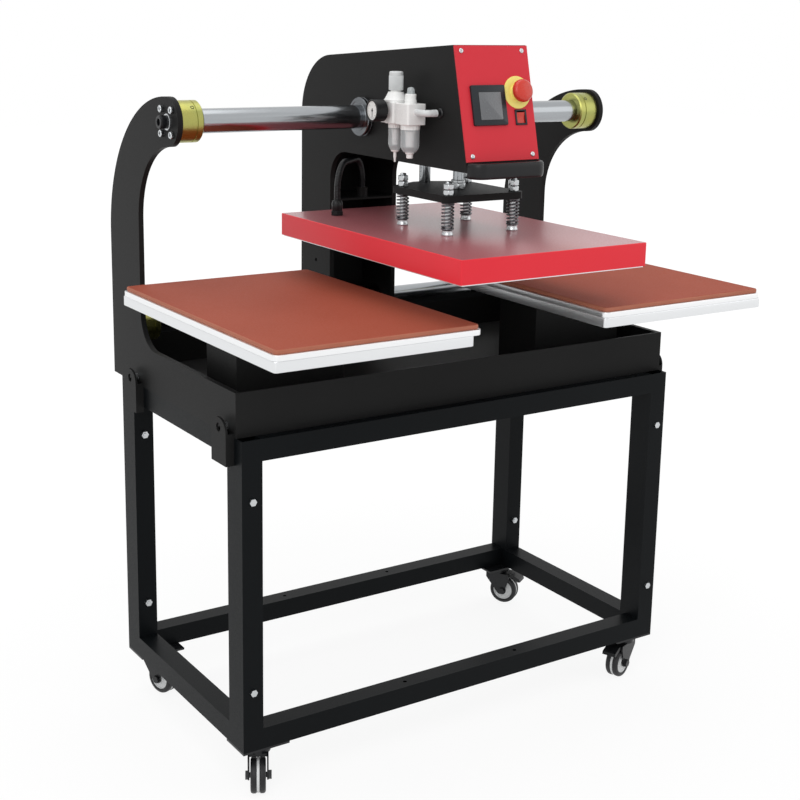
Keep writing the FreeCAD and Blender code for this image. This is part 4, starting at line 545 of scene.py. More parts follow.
    def build(self, body: str | None, *nodes: str, smooth: float = 32.0,
              slot: str | None = None) -> bpy.types.Object:
        """Makes the mesh object, dresses it and says what it rides on and replaces.

        Args:
            body: The body it rides on, or nothing when it is blended afterwards.
            *nodes: The model's nodes that it stands for.
            smooth: Edges sharper than this many degrees stay sharp.
            slot: The record's material slot it takes; not used.

        Returns:
            The object.
        """
        mesh = bpy.data.meshes.new(self.name)
        mesh.from_pydata(np.concatenate(self.points).tolist(), [], self.faces)
        mesh.polygons.foreach_set("material_index", np.array(self.slots, dtype=np.int32))
        for finish in self.finishes:
            mesh.materials.append(finish.make())
        shell = bmesh.new()
        shell.from_mesh(mesh)
        bmesh.ops.remove_doubles(shell, verts=shell.verts, dist=0.00001)
        bmesh.ops.dissolve_degenerate(shell, edges=shell.edges, dist=0.000005)
        bmesh.ops.recalc_face_normals(shell, faces=shell.faces)
        shell.to_mesh(mesh)
        shell.free()
        mesh.shade_smooth()
        mesh.set_sharp_from_angle(angle=math.radians(smooth))
        item = bpy.data.objects.new(self.name, mesh)
        bpy.context.scene.collection.objects.link(item)
        if body:
            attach(item, body)
        if nodes:
            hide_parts(*nodes)
        LOG.info("%s: %d faces", self.name, len(mesh.polygons))
        return item


def middle(node: str) -> np.ndarray:
    """The middle of a node's box, in metres."""
    low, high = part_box(node)
    return (np.array(low) + np.array(high)) / 2


def extent(node: str) -> np.ndarray:
    """A node's size along the three axes, in metres."""
    low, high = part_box(node)
    return np.array(high) - np.array(low)


def joint(name: str) -> dict[str, Any]:
    """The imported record's joint of that name."""
    return next(j for j in frame["record"]["behaviour"]["joints"] if j["name"] == name)


def rounding(height: float, radius: float, steps: int = 4) -> list[tuple[float, float]]:
    """Inset and height pairs of a slab whose lower and upper edges are quarter rounds.

    Args:
        height: The slab's height.
        radius: Radius of both edges.
        steps: Points on each quarter.

    Returns:
        The pairs, from the bottom to the top.
    """
    turn = np.linspace(0, math.pi / 2, steps)
    low = [(radius * (1 - math.sin(t)), radius * (1 - math.cos(t))) for t in turn]
    high = [(inset, height - rise) for inset, rise in reversed(low)]
    return low + high


# ---------------------------------------------------------------------------
# Sub-assemblies
# ---------------------------------------------------------------------------
class Corner(Enum):
    """The four corners that carry a caster."""

    FRONT_LEFT = "fl"
    FRONT_RIGHT = "fr"
    REAR_LEFT = "rl"
    REAR_RIGHT = "rr"


@dataclass
class CasterWheel:
    """A twin-tread wheel with a pale middle band and pale hub discs (millimetres)."""

    corner: Corner
    tread_radius: float = 32.5
    half_width: float = 14.0
    band_half: float = 2.6
    hub_radius: float = 23.0

    def build(self) -> None:
        """Turns the two treads, the band, the discs and the axle's cover."""
        key = self.corner.value
        seat = facing(middle(f"caster_wheel_{key}"), joint(f"roll_{key}")["axis"])
        form = Form(f"wheel_{key}")
        r, w, b = self.tread_radius, self.half_width, self.band_half
        for side in (-1, 1):
            tread = [
                (self.hub_radius, side * (w - 1.6)), (self.hub_radius + 2.5, side * w),
                (r - 5.0, side * w), (r - 2.2, side * (w - 0.8)), (r - 0.7, side * (w - 2.4)),
                (r, side * (w - 4.6)), (r, side * (b + 2.0)), (r - 1.2, side * (b + 0.6)),
                (r - 2.2, side * b), (self.hub_radius, side * b),
            ]
            form.turned(tread, TREAD, seat)
            disc = [
                (5.2, side * (w - 2.0)), (9.5, side * (w - 1.2)), (10.5, side * (w - 3.2)),
                (17.0, side * (w - 4.6)), (20.5, side * (w - 3.6)), (21.5, side * (w - 1.4)),
                (self.hub_radius, side * (w - 1.4)), (self.hub_radius, side * b), (5.2, side * b),
            ]
            form.turned(disc, HUB, seat)
        form.turned([(5.2, -b), (r - 1.6, -b), (r - 1.0, -b + 0.7), (r - 1.0, b - 0.7),
                     (r - 1.6, b), (5.2, b)], HUB, seat)
        form.build(f"wheel_{key}", f"caster_wheel_{key}", slot="tread_rubber")


@dataclass
class Shafts:
    """Both shafts, their clamp flanges, the carriage's bearing rings and the arm screws."""

    chamfer: float = 1.6
    seat_bore: float = 22.9
    screw_place: float = 26.0
    screw_lean: float = 26.7
    screw_offset: float = 22.0
    bearing_depth: float = 13.0

    def shaft(self, node: str) -> None:
        """Turns one chromed bar with chamfered ends.

        Args:
            node: The shaft's node, whose box gives its radius and length.
        """
        size = extent(node) / MM
        radius, half = size[2] / 2, size[0] / 2
        form = Form(f"{node}_bar")
        seat = facing(middle(node), (1, 0, 0))
        c = self.chamfer
        form.turned([(0, -half), (radius - c, -half), (radius, -half + c), (radius, half - c),
                     (radius - c, half), (0, half)], CHROME, seat, around=96)
        form.build("base", node, slot="chromed_steel")

    def flanges(self) -> None:
        """Turns the four clamp flanges, each with a recessed set screw."""
        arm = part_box("side_arm_right")[0][0]
        form = Form("clamp_flanges")
        sizes = {"upper_shaft": (38.0, 45.0), "lower_shaft": (34.0, 40.0)}
        for node, (radius, length) in sizes.items():
            centre = middle(node)
            for side in (-1, 1):
                seat = facing((side * arm, centre[1], centre[2]), (-side, 0, 0))
                form.turned([(self.seat_bore, 0.2), (radius - 0.8, 0.2), (radius, 1.0),
                             (radius, length - 15.0), (radius - 1.2, length - 14.4),
                             (radius - 1.2, length - 13.0), (radius, length - 12.4),
                             (radius, length - 2.4), (radius - 2.4, length),
                             (26.0, length), (23.2, length - 1.4),
                             (self.seat_bore, length - 1.4), (self.seat_bore, 0.2)],
                            YELLOW_ZINC, seat, around=80)
                lean = facing(
                    (side * (arm - self.screw_place * MM), centre[1] - self.screw_lean * MM,
                     centre[2] + self.screw_lean * MM), (0, -1, 1))
                form.turned([(0, radius - 39.0), (3.6, radius - 39.0), (3.6, radius - 37.5),
                             (2.8, radius - 37.3), (2.2, radius - 38.0), (0, radius - 38.0)],
                            BLACK_ZINC, lean, around=24)
        form.build("base", "shaft_flanges", slot="yellow_zinc")

    def bearings(self) -> None:
        """Turns the chromed bearing rings on the carriage's cheeks."""
        for node in ("upper_bearing_housing", "lower_bearing_housing"):
            size = extent(node) / MM
            radius, half = size[2] / 2, size[0] / 2
            form = Form(f"{node}_rings")
            seat = facing(middle(node), (1, 0, 0))
            for side in (-1, 1):
                shift = side * (half - self.bearing_depth) * MM
                ring = facing(middle(node) + np.array([shift, 0, 0]), (side, 0, 0))
                form.turned([(22.8, 0.1), (radius, 0.1), (radius, 4.6), (radius - 1.0, 5.2),
                             (radius - 1.0, 6.4), (radius, 7.0), (radius, 11.6),
                             (radius - 1.4, 13.0), (radius - 6.0, 13.0), (radius - 6.8, 12.0),
                             (26.6, 12.0), (26.0, 12.8), (22.8, 12.8), (22.8, 0.1)],
                            BEARING_STEEL, ring, around=96)
            inner = half - self.bearing_depth
            form.turned([(22.8, -inner), (31.0, -inner), (31.0, inner), (22.8, inner),
                         (22.8, -inner)], BEARING_STEEL, seat, around=64)
            form.build("carriage", node, slot="chromed_steel")

    def screws(self) -> None:
        """Turns the socket screws round each upper shaft end and the large end bolt."""
        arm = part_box("side_arm_right")[1][0]
        centre = middle("upper_shaft")
        form = Form("arm_socket_screws")
        for side in (-1, 1):
            for a in (-self.screw_offset, self.screw_offset):
                for b in (-self.screw_offset, self.screw_offset):
                    spot = (side * arm, centre[1] + a * MM, centre[2] + b * MM)
                    self.socket(form, facing(spot, (side, 0, 0)), 6.5, 6.5, ZINC)
            seat = facing((side * arm, centre[1], centre[2]), (side, 0, 0))
            form.turned([(0, 0.05), (15.0, 0.05), (15.0, 2.4), (14.2, 3.0), (0, 3.0)], ZINC, seat)
            top = facing((side * (arm + 0.003), centre[1], centre[2]), (side, 0, 0))
            self.socket(form, top, 12.0, 15.0, BLACK_ZINC)
        form.build("base", "arm_bolts", slot="zinc_steel")

    def socket(
        self, form: Form, seat: Seat, radius: float, height: float, finish: Finish
    ) -> None:
        """Adds a cap head: knurled side, chamfered rim and a round socket with a dark floor.

        Args:
            form: The piece that it joins.
            seat: The middle of its lower face, facing out.
            radius: Radius of the head.
            height: Height of the head.
            finish: Finish of the head.
        """
        form.turned([(radius * 0.62, height), (radius - 0.9, height), (radius, height - 1.2),
                     (radius, 0.6), (radius - 0.3, 0.05), (radius * 0.54, 0.05),
                     (radius * 0.54, height - 0.8)], finish, seat, around=72, ribs=36,
                    rib_depth=0.25)
        form.turned([(0, 0.05), (radius * 0.53, 0.05), (radius * 0.53, height * 0.45),
                     (0, height * 0.4)], BLACK_ZINC, seat, around=36)

    def build(self) -> None:
        """Builds every piece on the two shafts."""
        self.shaft("upper_shaft")
        self.shaft("lower_shaft")
        self.flanges()
        self.bearings()
        self.screws()


@dataclass
class LowerPlatens:
    """Silicone pads on bright plates over cast bases."""

    centre_x: float = 337.0
    edge: float = 2.4
    corner: float = 8.0
    plate_half: tuple[float, float] = (200.0, 300.0)
    plate_corner: float = 12.0
    plate_edge: float = 0.9
    left_base: tuple[float, float] = (-8.5, 191.5)
    base_corner: float = 6.0
    base_edge: float = 1.2

    def build(self) -> None:
        """Builds the two pads, plates and bases from the nodes' boxes."""
        (low_x, low_y, low), (_, high_y, high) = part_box("lower_platen_pads")
        pads = Form("silicone_pads")
        plates = Form("platen_plates")
        bases = Form("platen_bases")
        centre_x = self.centre_x * MM
        half_width, half_depth = self.plate_half
        half_x = (-low_x - centre_x) / MM
        half_y = (high_y - low_y) / 2 / MM
        middle_y = (high_y + low_y) / 2
        plate_low, plate_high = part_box("lower_platen_plates")
        base_low, base_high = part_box("lower_platen_bases")
        base_height = (base_high[2] - base_low[2]) / MM
        plate_height = (plate_high[2] - plate_low[2]) / MM
        for side in (-1, 1):
            seat = Seat(np.array([side * centre_x, middle_y, low]))
            height = (high - low) / MM
            shape = rounding(height, self.edge, 5)
            # The sides and the rounded edge take the paler colour; the crown takes the plain
            # silicone.
            pads.slab(half_x, half_y, self.corner, shape[:-1], SILICONE_EDGE, seat, around=64)
            crown = [(self.edge * 0.35, height - 0.55), (self.edge, height),
                     (self.edge + 3, height)]
            pads.slab(half_x, half_y, self.corner, crown, SILICONE, seat, around=64)
            seat = Seat(np.array([side * centre_x, middle_y, plate_low[2]]))
            plates.slab(half_width, half_depth, self.plate_corner,
                        rounding(plate_height, self.plate_edge), MILLED_ALUMINIUM, seat, around=64)
            shift, half = self.left_base if side < 0 else (0.0, half_width)
            seat = Seat(np.array([side * centre_x + shift * MM, middle_y, base_low[2]]))
            bases.slab(half, half_depth, self.base_corner,
                       rounding(base_height, self.base_edge), CAST_ALUMINIUM, seat)
        pads.build("base", "lower_platen_pads", slot="silicone_foam")
        plates.build("base", "lower_platen_plates", slot="milled_aluminium")
        bases.build("base", "lower_platen_bases", slot="cast_aluminium")


@dataclass
class HeatPlaten:
    """Red cover, posts, springs, gland and the conduit that feeds the heater."""

    sheet: float = 2.0
    edge: float = 1.6
    corner: float = 4.0
    post_radius: float = 6.0
    post_reach: float = 74.0
    wire: float = 1.5
    coil: float = 10.5
    coil_turns: float = 9.0
    conduit_radius: float = 6.5
    conduit_bend: float = 52.0
    ripple_depth: float = 0.9
    ripple_pitch: float = 3.0

    def cover(self) -> None:
        """Builds the folded cover: outside, turned under, and its inside walls."""
        low, high = (np.array(v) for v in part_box("heat_platen_cover"))
        half = (high - low) / 2 / MM
        seat = Seat(np.array([(low[0] + high[0]) / 2, (low[1] + high[1]) / 2, low[2]]))
        height = 2 * half[2]
        turn = np.linspace(0, math.pi / 2, 5)
        outside = [(0.0, 0.0)] + [
            (self.edge * (1 - math.cos(t)), height - self.edge * (1 - math.sin(t))) for t in turn
        ]
        form = Form("red_platen_cover")
        inside = [(self.sheet, height - self.sheet), (self.sheet, 0.0)]
        # The top face takes the paler red with the painted reflection; the sides and the
        # turned-under rim take the plain red.
        form.slab(half[0], half[1], self.corner, inside + outside, RED_POWDER, seat,
                  top_finish=RED_TOP_PAINTED_REFLECTION, around=48)
        for a in (-1, 1):
            for b in (-1, 1):
                spot = np.array([a * (half[0] - 13), b * (half[1] - 13), height - 0.35]) * MM
                place = Seat(seat.origin + spot)
                form.turned([(0, 0), (4.2, 0), (4.0, 0.2), (2.6, 0.34), (0, 0.34)], ZINC,
                            place, around=28)
        form.build("heat_platen", "heat_platen_cover", slot="red_powder")

    def posts(self) -> list[np.ndarray]:
        """Finds the posts: the corners of a square round the middle of their node.

        Returns:
            Four places seen from above, in metres.
        """
        centre = middle("platen_posts")[:2]
        reach = self.post_reach * MM
        return [centre + np.array([x, y]) for x in (-reach, reach) for y in (-reach, reach)]

    def hardware(self) -> None:
        """Builds threaded posts, foot collars and pairs of chamfered nuts."""
        cover_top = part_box("heat_platen_cover")[1][2]
        spider_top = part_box("spider_plate")[1][2]
        post_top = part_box("platen_posts")[1][2]
        form = Form("threaded_posts")
        for spot in self.posts():
            base = Seat(np.array([spot[0], spot[1], cover_top]))
            length = (post_top - cover_top) / MM
            smooth = length - 26.0
            turns = np.arange(smooth, length - 1.0, 0.6)
            thread = [(self.post_radius - (0.0 if i % 2 else 0.5), float(v))
                      for i, v in enumerate(turns)]
            form.turned([(self.post_radius, 0.1)] + thread
                        + [(self.post_radius - 1.2, length), (0, length)], ZINC, base, around=32)
            form.turned([(self.post_radius, 0.1), (10.4, 0.1), (10.6, 0.5), (10.6, 3.0),
                         (9.6, 4.6), (9.6, 9.6), (8.8, 10.5), (self.post_radius, 10.5)],
                        ZINC, base, around=40)
            nut = Seat(np.array([spot[0], spot[1], spider_top]))
            form.hexagon(10.5, 0.1, 9.9, ZINC, nut, 1.4)
            form.hexagon(10.5, 10.7, 20.6, ZINC, nut, 1.4)
        form.build("heat_platen", "platen_posts", slot="zinc_steel")

    def springs(self) -> None:
        """Builds the coils, whose closed ends lie flat on the collars and the spider."""
        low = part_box("platen_springs")[0][2] + self.wire * MM
        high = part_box("platen_springs")[1][2] - self.wire * MM
        form = Form("coil_springs")
        share = np.linspace(0, 1, 260)
        closed = np.clip((share - 0.09) / 0.82, 0, 1)
        rise = low + (high - low) * (0.06 * share + 0.94 * closed)
        angle = share * self.coil_turns * 2 * math.pi
        for spot in self.posts():
            path = np.stack([spot[0] + self.coil * MM * np.cos(angle),
                             spot[1] + self.coil * MM * np.sin(angle), rise], axis=1)
            form.tube(path, self.wire * MM, SPRING_WIRE, around=10)
        item = form.build(None, "platen_springs", slot="spring_steel", smooth=60)
        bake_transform(item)

    def conduit(self) -> None:
        """Builds the corrugated conduit: straight up, over in an arch, and down to the shelf."""
        gland = middle("platen_gland")
        gland_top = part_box("platen_gland")[1][2]
        low, high = (np.array(v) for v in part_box("conduit"))
        radius = self.conduit_radius * MM
        start = np.array([low[0] + radius, low[1] + radius])
        stop = np.array([high[0] - radius, high[1] - radius])
        shelf_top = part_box("conduit_shelf")[1][2]
        span = np.linalg.norm(stop - start)
        along = (stop - start) / span
        bend = self.conduit_bend * MM
        crown = high[2] - radius
        turn = np.linspace(0, math.pi / 2, 60)
        up = np.linspace(gland_top - 0.01, crown - bend, 24)[:-1]
        down = np.linspace(crown - bend, shelf_top - 0.01, 24)[1:]
        over = np.linspace(bend, span - bend, 12)[1:-1]
        reach = np.concatenate([np.zeros(len(up)), bend * (1 - np.cos(turn)), over,
                                span - bend + bend * np.sin(turn), np.full(len(down), span)])
        rise = np.concatenate([up, crown - bend + bend * np.sin(turn), np.full(len(over), crown),
                               crown - bend + bend * np.cos(turn), down])
        line = np.column_stack([start[0] + along[0] * reach, start[1] + along[1] * reach, rise])
        travelled = np.concatenate([[0], np.cumsum(np.linalg.norm(np.diff(line, axis=0), axis=1))])
        even = np.linspace(0, travelled[-1], 420)
        path = np.column_stack([np.interp(even, travelled, line[:, k]) for k in range(3)])
        wave = np.cos(even / (self.ripple_pitch * MM) * 2 * math.pi)
        ripple = radius - self.ripple_depth / 2 * MM * (1 + wave)
        form = Form("corrugated_conduit")
        form.tube(path, ripple, CONDUIT, plane=(-along[1], along[0], 0.0))
        item = form.build(None, "conduit", slot="black_rubber", smooth=50)
        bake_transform(item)
        seat = Seat(np.array([gland[0], gland[1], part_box("platen_gland")[0][2]]))
        form = Form("platen_cable_gland")
        form.hexagon(13.0, 0.1, 9.0, BLACK_NYLON, seat, 1.2)
        form.turned([(0, 8.6), (10.4, 8.6), (10.4, 12.0), (11.0, 13.0), (11.0, 23.0),
                     (9.8, 28.0), (8.0, 29.9), (0, 29.9)], BLACK_NYLON, seat, around=72,
                    ribs=12, rib_depth=0.8)
        form.build("heat_platen", "platen_gland", slot="black_plastic")

    def build(self) -> None:
        """Builds every piece of the heating head that moves with the platen."""
        self.cover()
        self.hardware()
        self.springs()
        self.conduit()


@dataclass
class PressRods:
    """The piston rod with its locknut and the guide rod with its clamp bush."""

    def build(self) -> None:
        """Turns the two rods from their nodes' boxes."""
        spider_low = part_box("spider_plate")[0][2]
        spider_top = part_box("spider_plate")[1][2]
        centre = middle("piston_rod")
        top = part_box("piston_rod")[1][2]
        seat = Seat(np.array([centre[0], centre[1], spider_low]))
        length = (top - spider_low) / MM
        deck = (spider_top - spider_low) / MM
        form = Form("piston_rod_bar")
        form.turned([(0, 0.1), (9.9, 0.1), (9.9, length - 18), (31.3, length - 18),
                     (31.3, length), (0, length)], CHROME, seat, around=72)
        form.hexagon(15.0, deck + 0.1, deck + 12.0, ZINC, seat, 1.8)
        form.turned([(9.9, deck + 12.0), (13.0, deck + 12.0), (13.0, deck + 16.0),
                     (12.2, deck + 17.0), (9.9, deck + 17.0)], ZINC, seat, around=48)
        form.build("press_head", "piston_rod", slot="chromed_steel")
        centre = middle("guide_rod")
        low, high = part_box("guide_rod")[0][2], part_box("guide_rod")[1][2]
        seat = Seat(np.array([centre[0], centre[1], low]))
        length = (high - low) / MM
        bush = (spider_low - low) / MM
        form = Form("guide_rod_bar")
        form.turned([(8.9, bush), (10.9, bush + deck + 0.1), (10.9, length - 1.5),
                     (9.6, length), (0, length), (0, bush), (8.9, bush)], CHROME, seat, around=72)
        form.turned([(0, 0), (10.2, 0), (11.7, 1.4), (11.7, bush - 0.1), (0, bush - 0.1)],
                    BLACK_ZINC, seat, around=56)
        form.build("press_head", "guide_rod", slot="chromed_steel")


@dataclass
class ControlPanel:
    """Touch screen, emergency stop, power switch and screws on the raked red panel.

    Local X runs to the right, Y up the slope and Z outwards, from the middle of the panel's
    lower edge at its back face (millimetres).
    """

    sheet: float = 3.0
    switch: tuple[float, float] = (49.0, 76.5)
    estop: tuple[float, float] = (46.5, 121.5)
    screen: tuple[float, float] = (-20.25, 99.0)
    screen_half: tuple[float, float] = (37.25, 36.0)
    display: tuple[float, float] = (-18.25, 97.5)
    display_half: tuple[float, float] = (24.25, 24.5)
    screw_x: float = 67.0
    screw_edge: float = 9.5
    height: float = 206.0
    key_tilt: float = 9.0

    def seat(self, x: float = 0.0, y: float = 0.0, z: float = 0.0) -> Seat:
        """A seat on the panel, found from the rocker's pivot and the button's axis.

        Args:
            x: Place to the right of the panel's middle.
            y: Place up the slope.
            z: Place outwards from the panel's back face.

        Returns:
            The seat, facing out of the panel.
        """
        out = -np.array(joint("estop_push")["axis"], float)
        up = np.cross(out, (1.0, 0.0, 0.0))
        basis = np.stack([np.array([1.0, 0.0, 0.0]), up, out], axis=1)
        pivot = np.array(joint("power_rock")["pos_m"], float)
        step = np.array([x - self.switch[0], y - self.switch[1], z + 1.0]) * MM
        return Seat(pivot + basis @ step, basis)

    def touch_screen(self) -> None:
        """Builds the bezel, its display with a dark surround, and the housing behind."""
        form = Form("touch_screen_unit")
        seat = self.seat(*self.screen, self.sheet)
        form.slab(*self.screen_half, 3.0, [(0, 0.05), (0, 3.4), (0.5, 4.4), (1.5, 5.0)],
                  BEZEL, seat)
        glass = self.seat(*self.display, self.sheet)
        form.slab(*self.display_half, 0.6, [(0, 4.9), (0, 5.06), (0.1, 5.1)], SCREEN_GLASS, glass)
        form.slab(self.display_half[0] + 1.2, self.display_half[1] + 1.2, 1.4,
                  [(0, 4.9), (0, 5.02), (0.1, 5.04)], BLACK_NYLON, glass)
        back = self.seat(*self.screen, 0.0)
        form.slab(33.0, 31.8, 1.5, [(0, -26.0), (0, 3.0)], BLACK_NYLON, back)
        form.build("carriage", "touch_screen", slot="black_plastic")

    def stop_button(self) -> None:
        """Builds the bare yellow ring, the collar and the domed red mushroom."""
        seat = self.seat(*self.estop, self.sheet)
        form = Form("stop_ring")
        form.turned([(8.6, 0.05), (29.3, 0.05), (29.5, 0.4), (29.3, 1.2), (28.6, 1.6),
                     (15.2, 1.6), (15.0, 2.0), (15.0, 6.4), (14.0, 7.4), (8.6, 7.4),
                     (8.6, 0.05)], YELLOW_ABS, seat, around=72)
        body = self.seat(*self.estop, 0.0)
        form.slab(15.0, 16.0, 2.0, [(0, -44.0), (0, -1.0)], BLACK_NYLON, body)
        form.build("carriage", "estop_base", slot="yellow_plastic")
        seat = self.seat(*self.estop, 0.0)
        form = Form("stop_mushroom")
        dome = [(18.5 * math.cos(t), 25.5 + 4.4 * math.sin(t))
                for t in np.linspace(0.12, math.pi / 2, 10)]
        form.turned([(0, -5.9), (7.9, -5.9), (7.9, 15.2), (17.5, 15.2), (19.6, 16.0),
                     (20.5, 17.6), (20.5, 22.0), (20.0, 24.2)] + dome, RED_ABS, seat,
                    around=72)
        form.build("estop_knob", "estop_button", slot="red_plastic")

    def power_switch(self) -> None:
        """Builds the switch frame and the curved red key."""
        form = Form("switch_frame")
        for dx, dy, hx, hy in ((-11.0, 0, 1.5, 14.0), (11.0, 0, 1.5, 14.0),
                               (0, 12.5, 12.5, 1.5), (0, -12.5, 12.5, 1.5)):
            place = self.seat(self.switch[0] + dx, self.switch[1] + dy, self.sheet)
            form.slab(hx, hy, 0.8, [(0, 0.05), (0, 1.9), (0.5, 2.5)], BEZEL, place, around=16)
        back = self.seat(*self.switch, 0.0)
        form.slab(9.9, 11.4, 1.0, [(0, -18.0), (0, -9.0)], BLACK_NYLON, back)
        form.build("carriage", "power_switch_bezel", slot="black_plastic")
        tilt = math.radians(self.key_tilt)
        seat = self.seat(*self.switch, -1.0)
        lean = np.array([[1, 0, 0], [0, math.cos(tilt), -math.sin(tilt)],
                         [0, math.sin(tilt), math.cos(tilt)]])
        seat = Seat(seat.origin, seat.basis @ lean)
        form = Form("power_key")
        across = np.linspace(-8.6, 8.6, 6)
        length = np.linspace(-9.5, 9.5, 21)
        x, y = np.meshgrid(across, length, indexing="xy")
        top = 3.4 + 1.2 * (y / 9.5) ** 2
        rings = np.stack([np.concatenate([x, x[:, ::-1]], axis=1),
                          np.concatenate([y, y[:, ::-1]], axis=1),
                          np.concatenate([top, np.full_like(top, -1.8)], axis=1)], axis=-1)
        form.grid(rings, RED_ABS, seat)
        form.build("power_key", "power_rocker", slot="red_plastic")

    def screws(self) -> None:
        """Builds the four domed screws with a small recess."""
        form = Form("panel_dome_screws")
        dome = [(4.6 * math.cos(t), 0.5 + 2.0 * math.sin(t)) for t in np.linspace(0, 1.2, 6)]
        for x in (-self.screw_x, self.screw_x):
            for y in (self.screw_edge, self.height - self.screw_edge):
                seat = self.seat(x, y, self.sheet)
                form.turned([(0, 0.05), (4.6, 0.05)] + dome + [(0.9, 2.4), (0.6, 1.4), (0, 1.4)],
                            ZINC, seat, around=32)
        form.build("carriage", "panel_screws", slot="zinc_steel")

    def build(self) -> None:
        """Builds every control."""
        self.touch_screen()
        self.stop_button()
        self.power_switch()
        self.screws()


@dataclass
class FrontHandle:
    """A moulded bow across the head's front, oval in section (millimetres)."""

    bend: float = 24.0
    half_thick: float = 5.0
    squareness: float = 0.62

    def build(self) -> None:
        """Carries a superellipse along the bow's middle line, in plan a U with round corners."""
        low, high = (np.array(v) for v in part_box("front_handle"))
        thick = self.half_thick * MM
        half = (high[0] - low[0]) / 2 - thick
        front, back = low[1] + thick, high[1]
        bend = (self.bend - self.half_thick) * MM
        turn = np.linspace(0, math.pi / 2, 16)
        left = np.array([[-half, back - 0.0004], [-half, (back + front + bend) / 2]])
        arc = np.column_stack([-half + bend * (1 - np.cos(turn)),
                               front + bend * (1 - np.sin(turn))])
        plan = np.concatenate([left, arc, (arc * [-1, 1])[::-1], (left * [-1, 1])[::-1]])
        height = (high[2] - low[2]) / 2
        path = np.column_stack([plan, np.full(len(plan), (low[2] + high[2]) / 2)])
        step = np.gradient(plan, axis=0)
        step /= np.linalg.norm(step, axis=1)[:, None]
        normal = np.column_stack([-step[:, 1], step[:, 0]])
        angle = np.linspace(0, 2 * math.pi, 40, endpoint=False)
        power = self.squareness
        across = thick * np.sign(np.cos(angle)) * np.abs(np.cos(angle)) ** power
        rise = height * np.sign(np.sin(angle)) * np.abs(np.sin(angle)) ** power
        points = np.zeros((len(path), len(angle), 3))
        points[:, :, :2] = path[:, None, :2] + across[None, :, None] * normal[:, None, :]
        points[:, :, 2] = path[:, 2:3] + rise[None, :]
        form = Form("bow_handle")
        form.grid(points, BLACK_NYLON)
        form.build("carriage", "front_handle", slot="black_plastic", smooth=45)


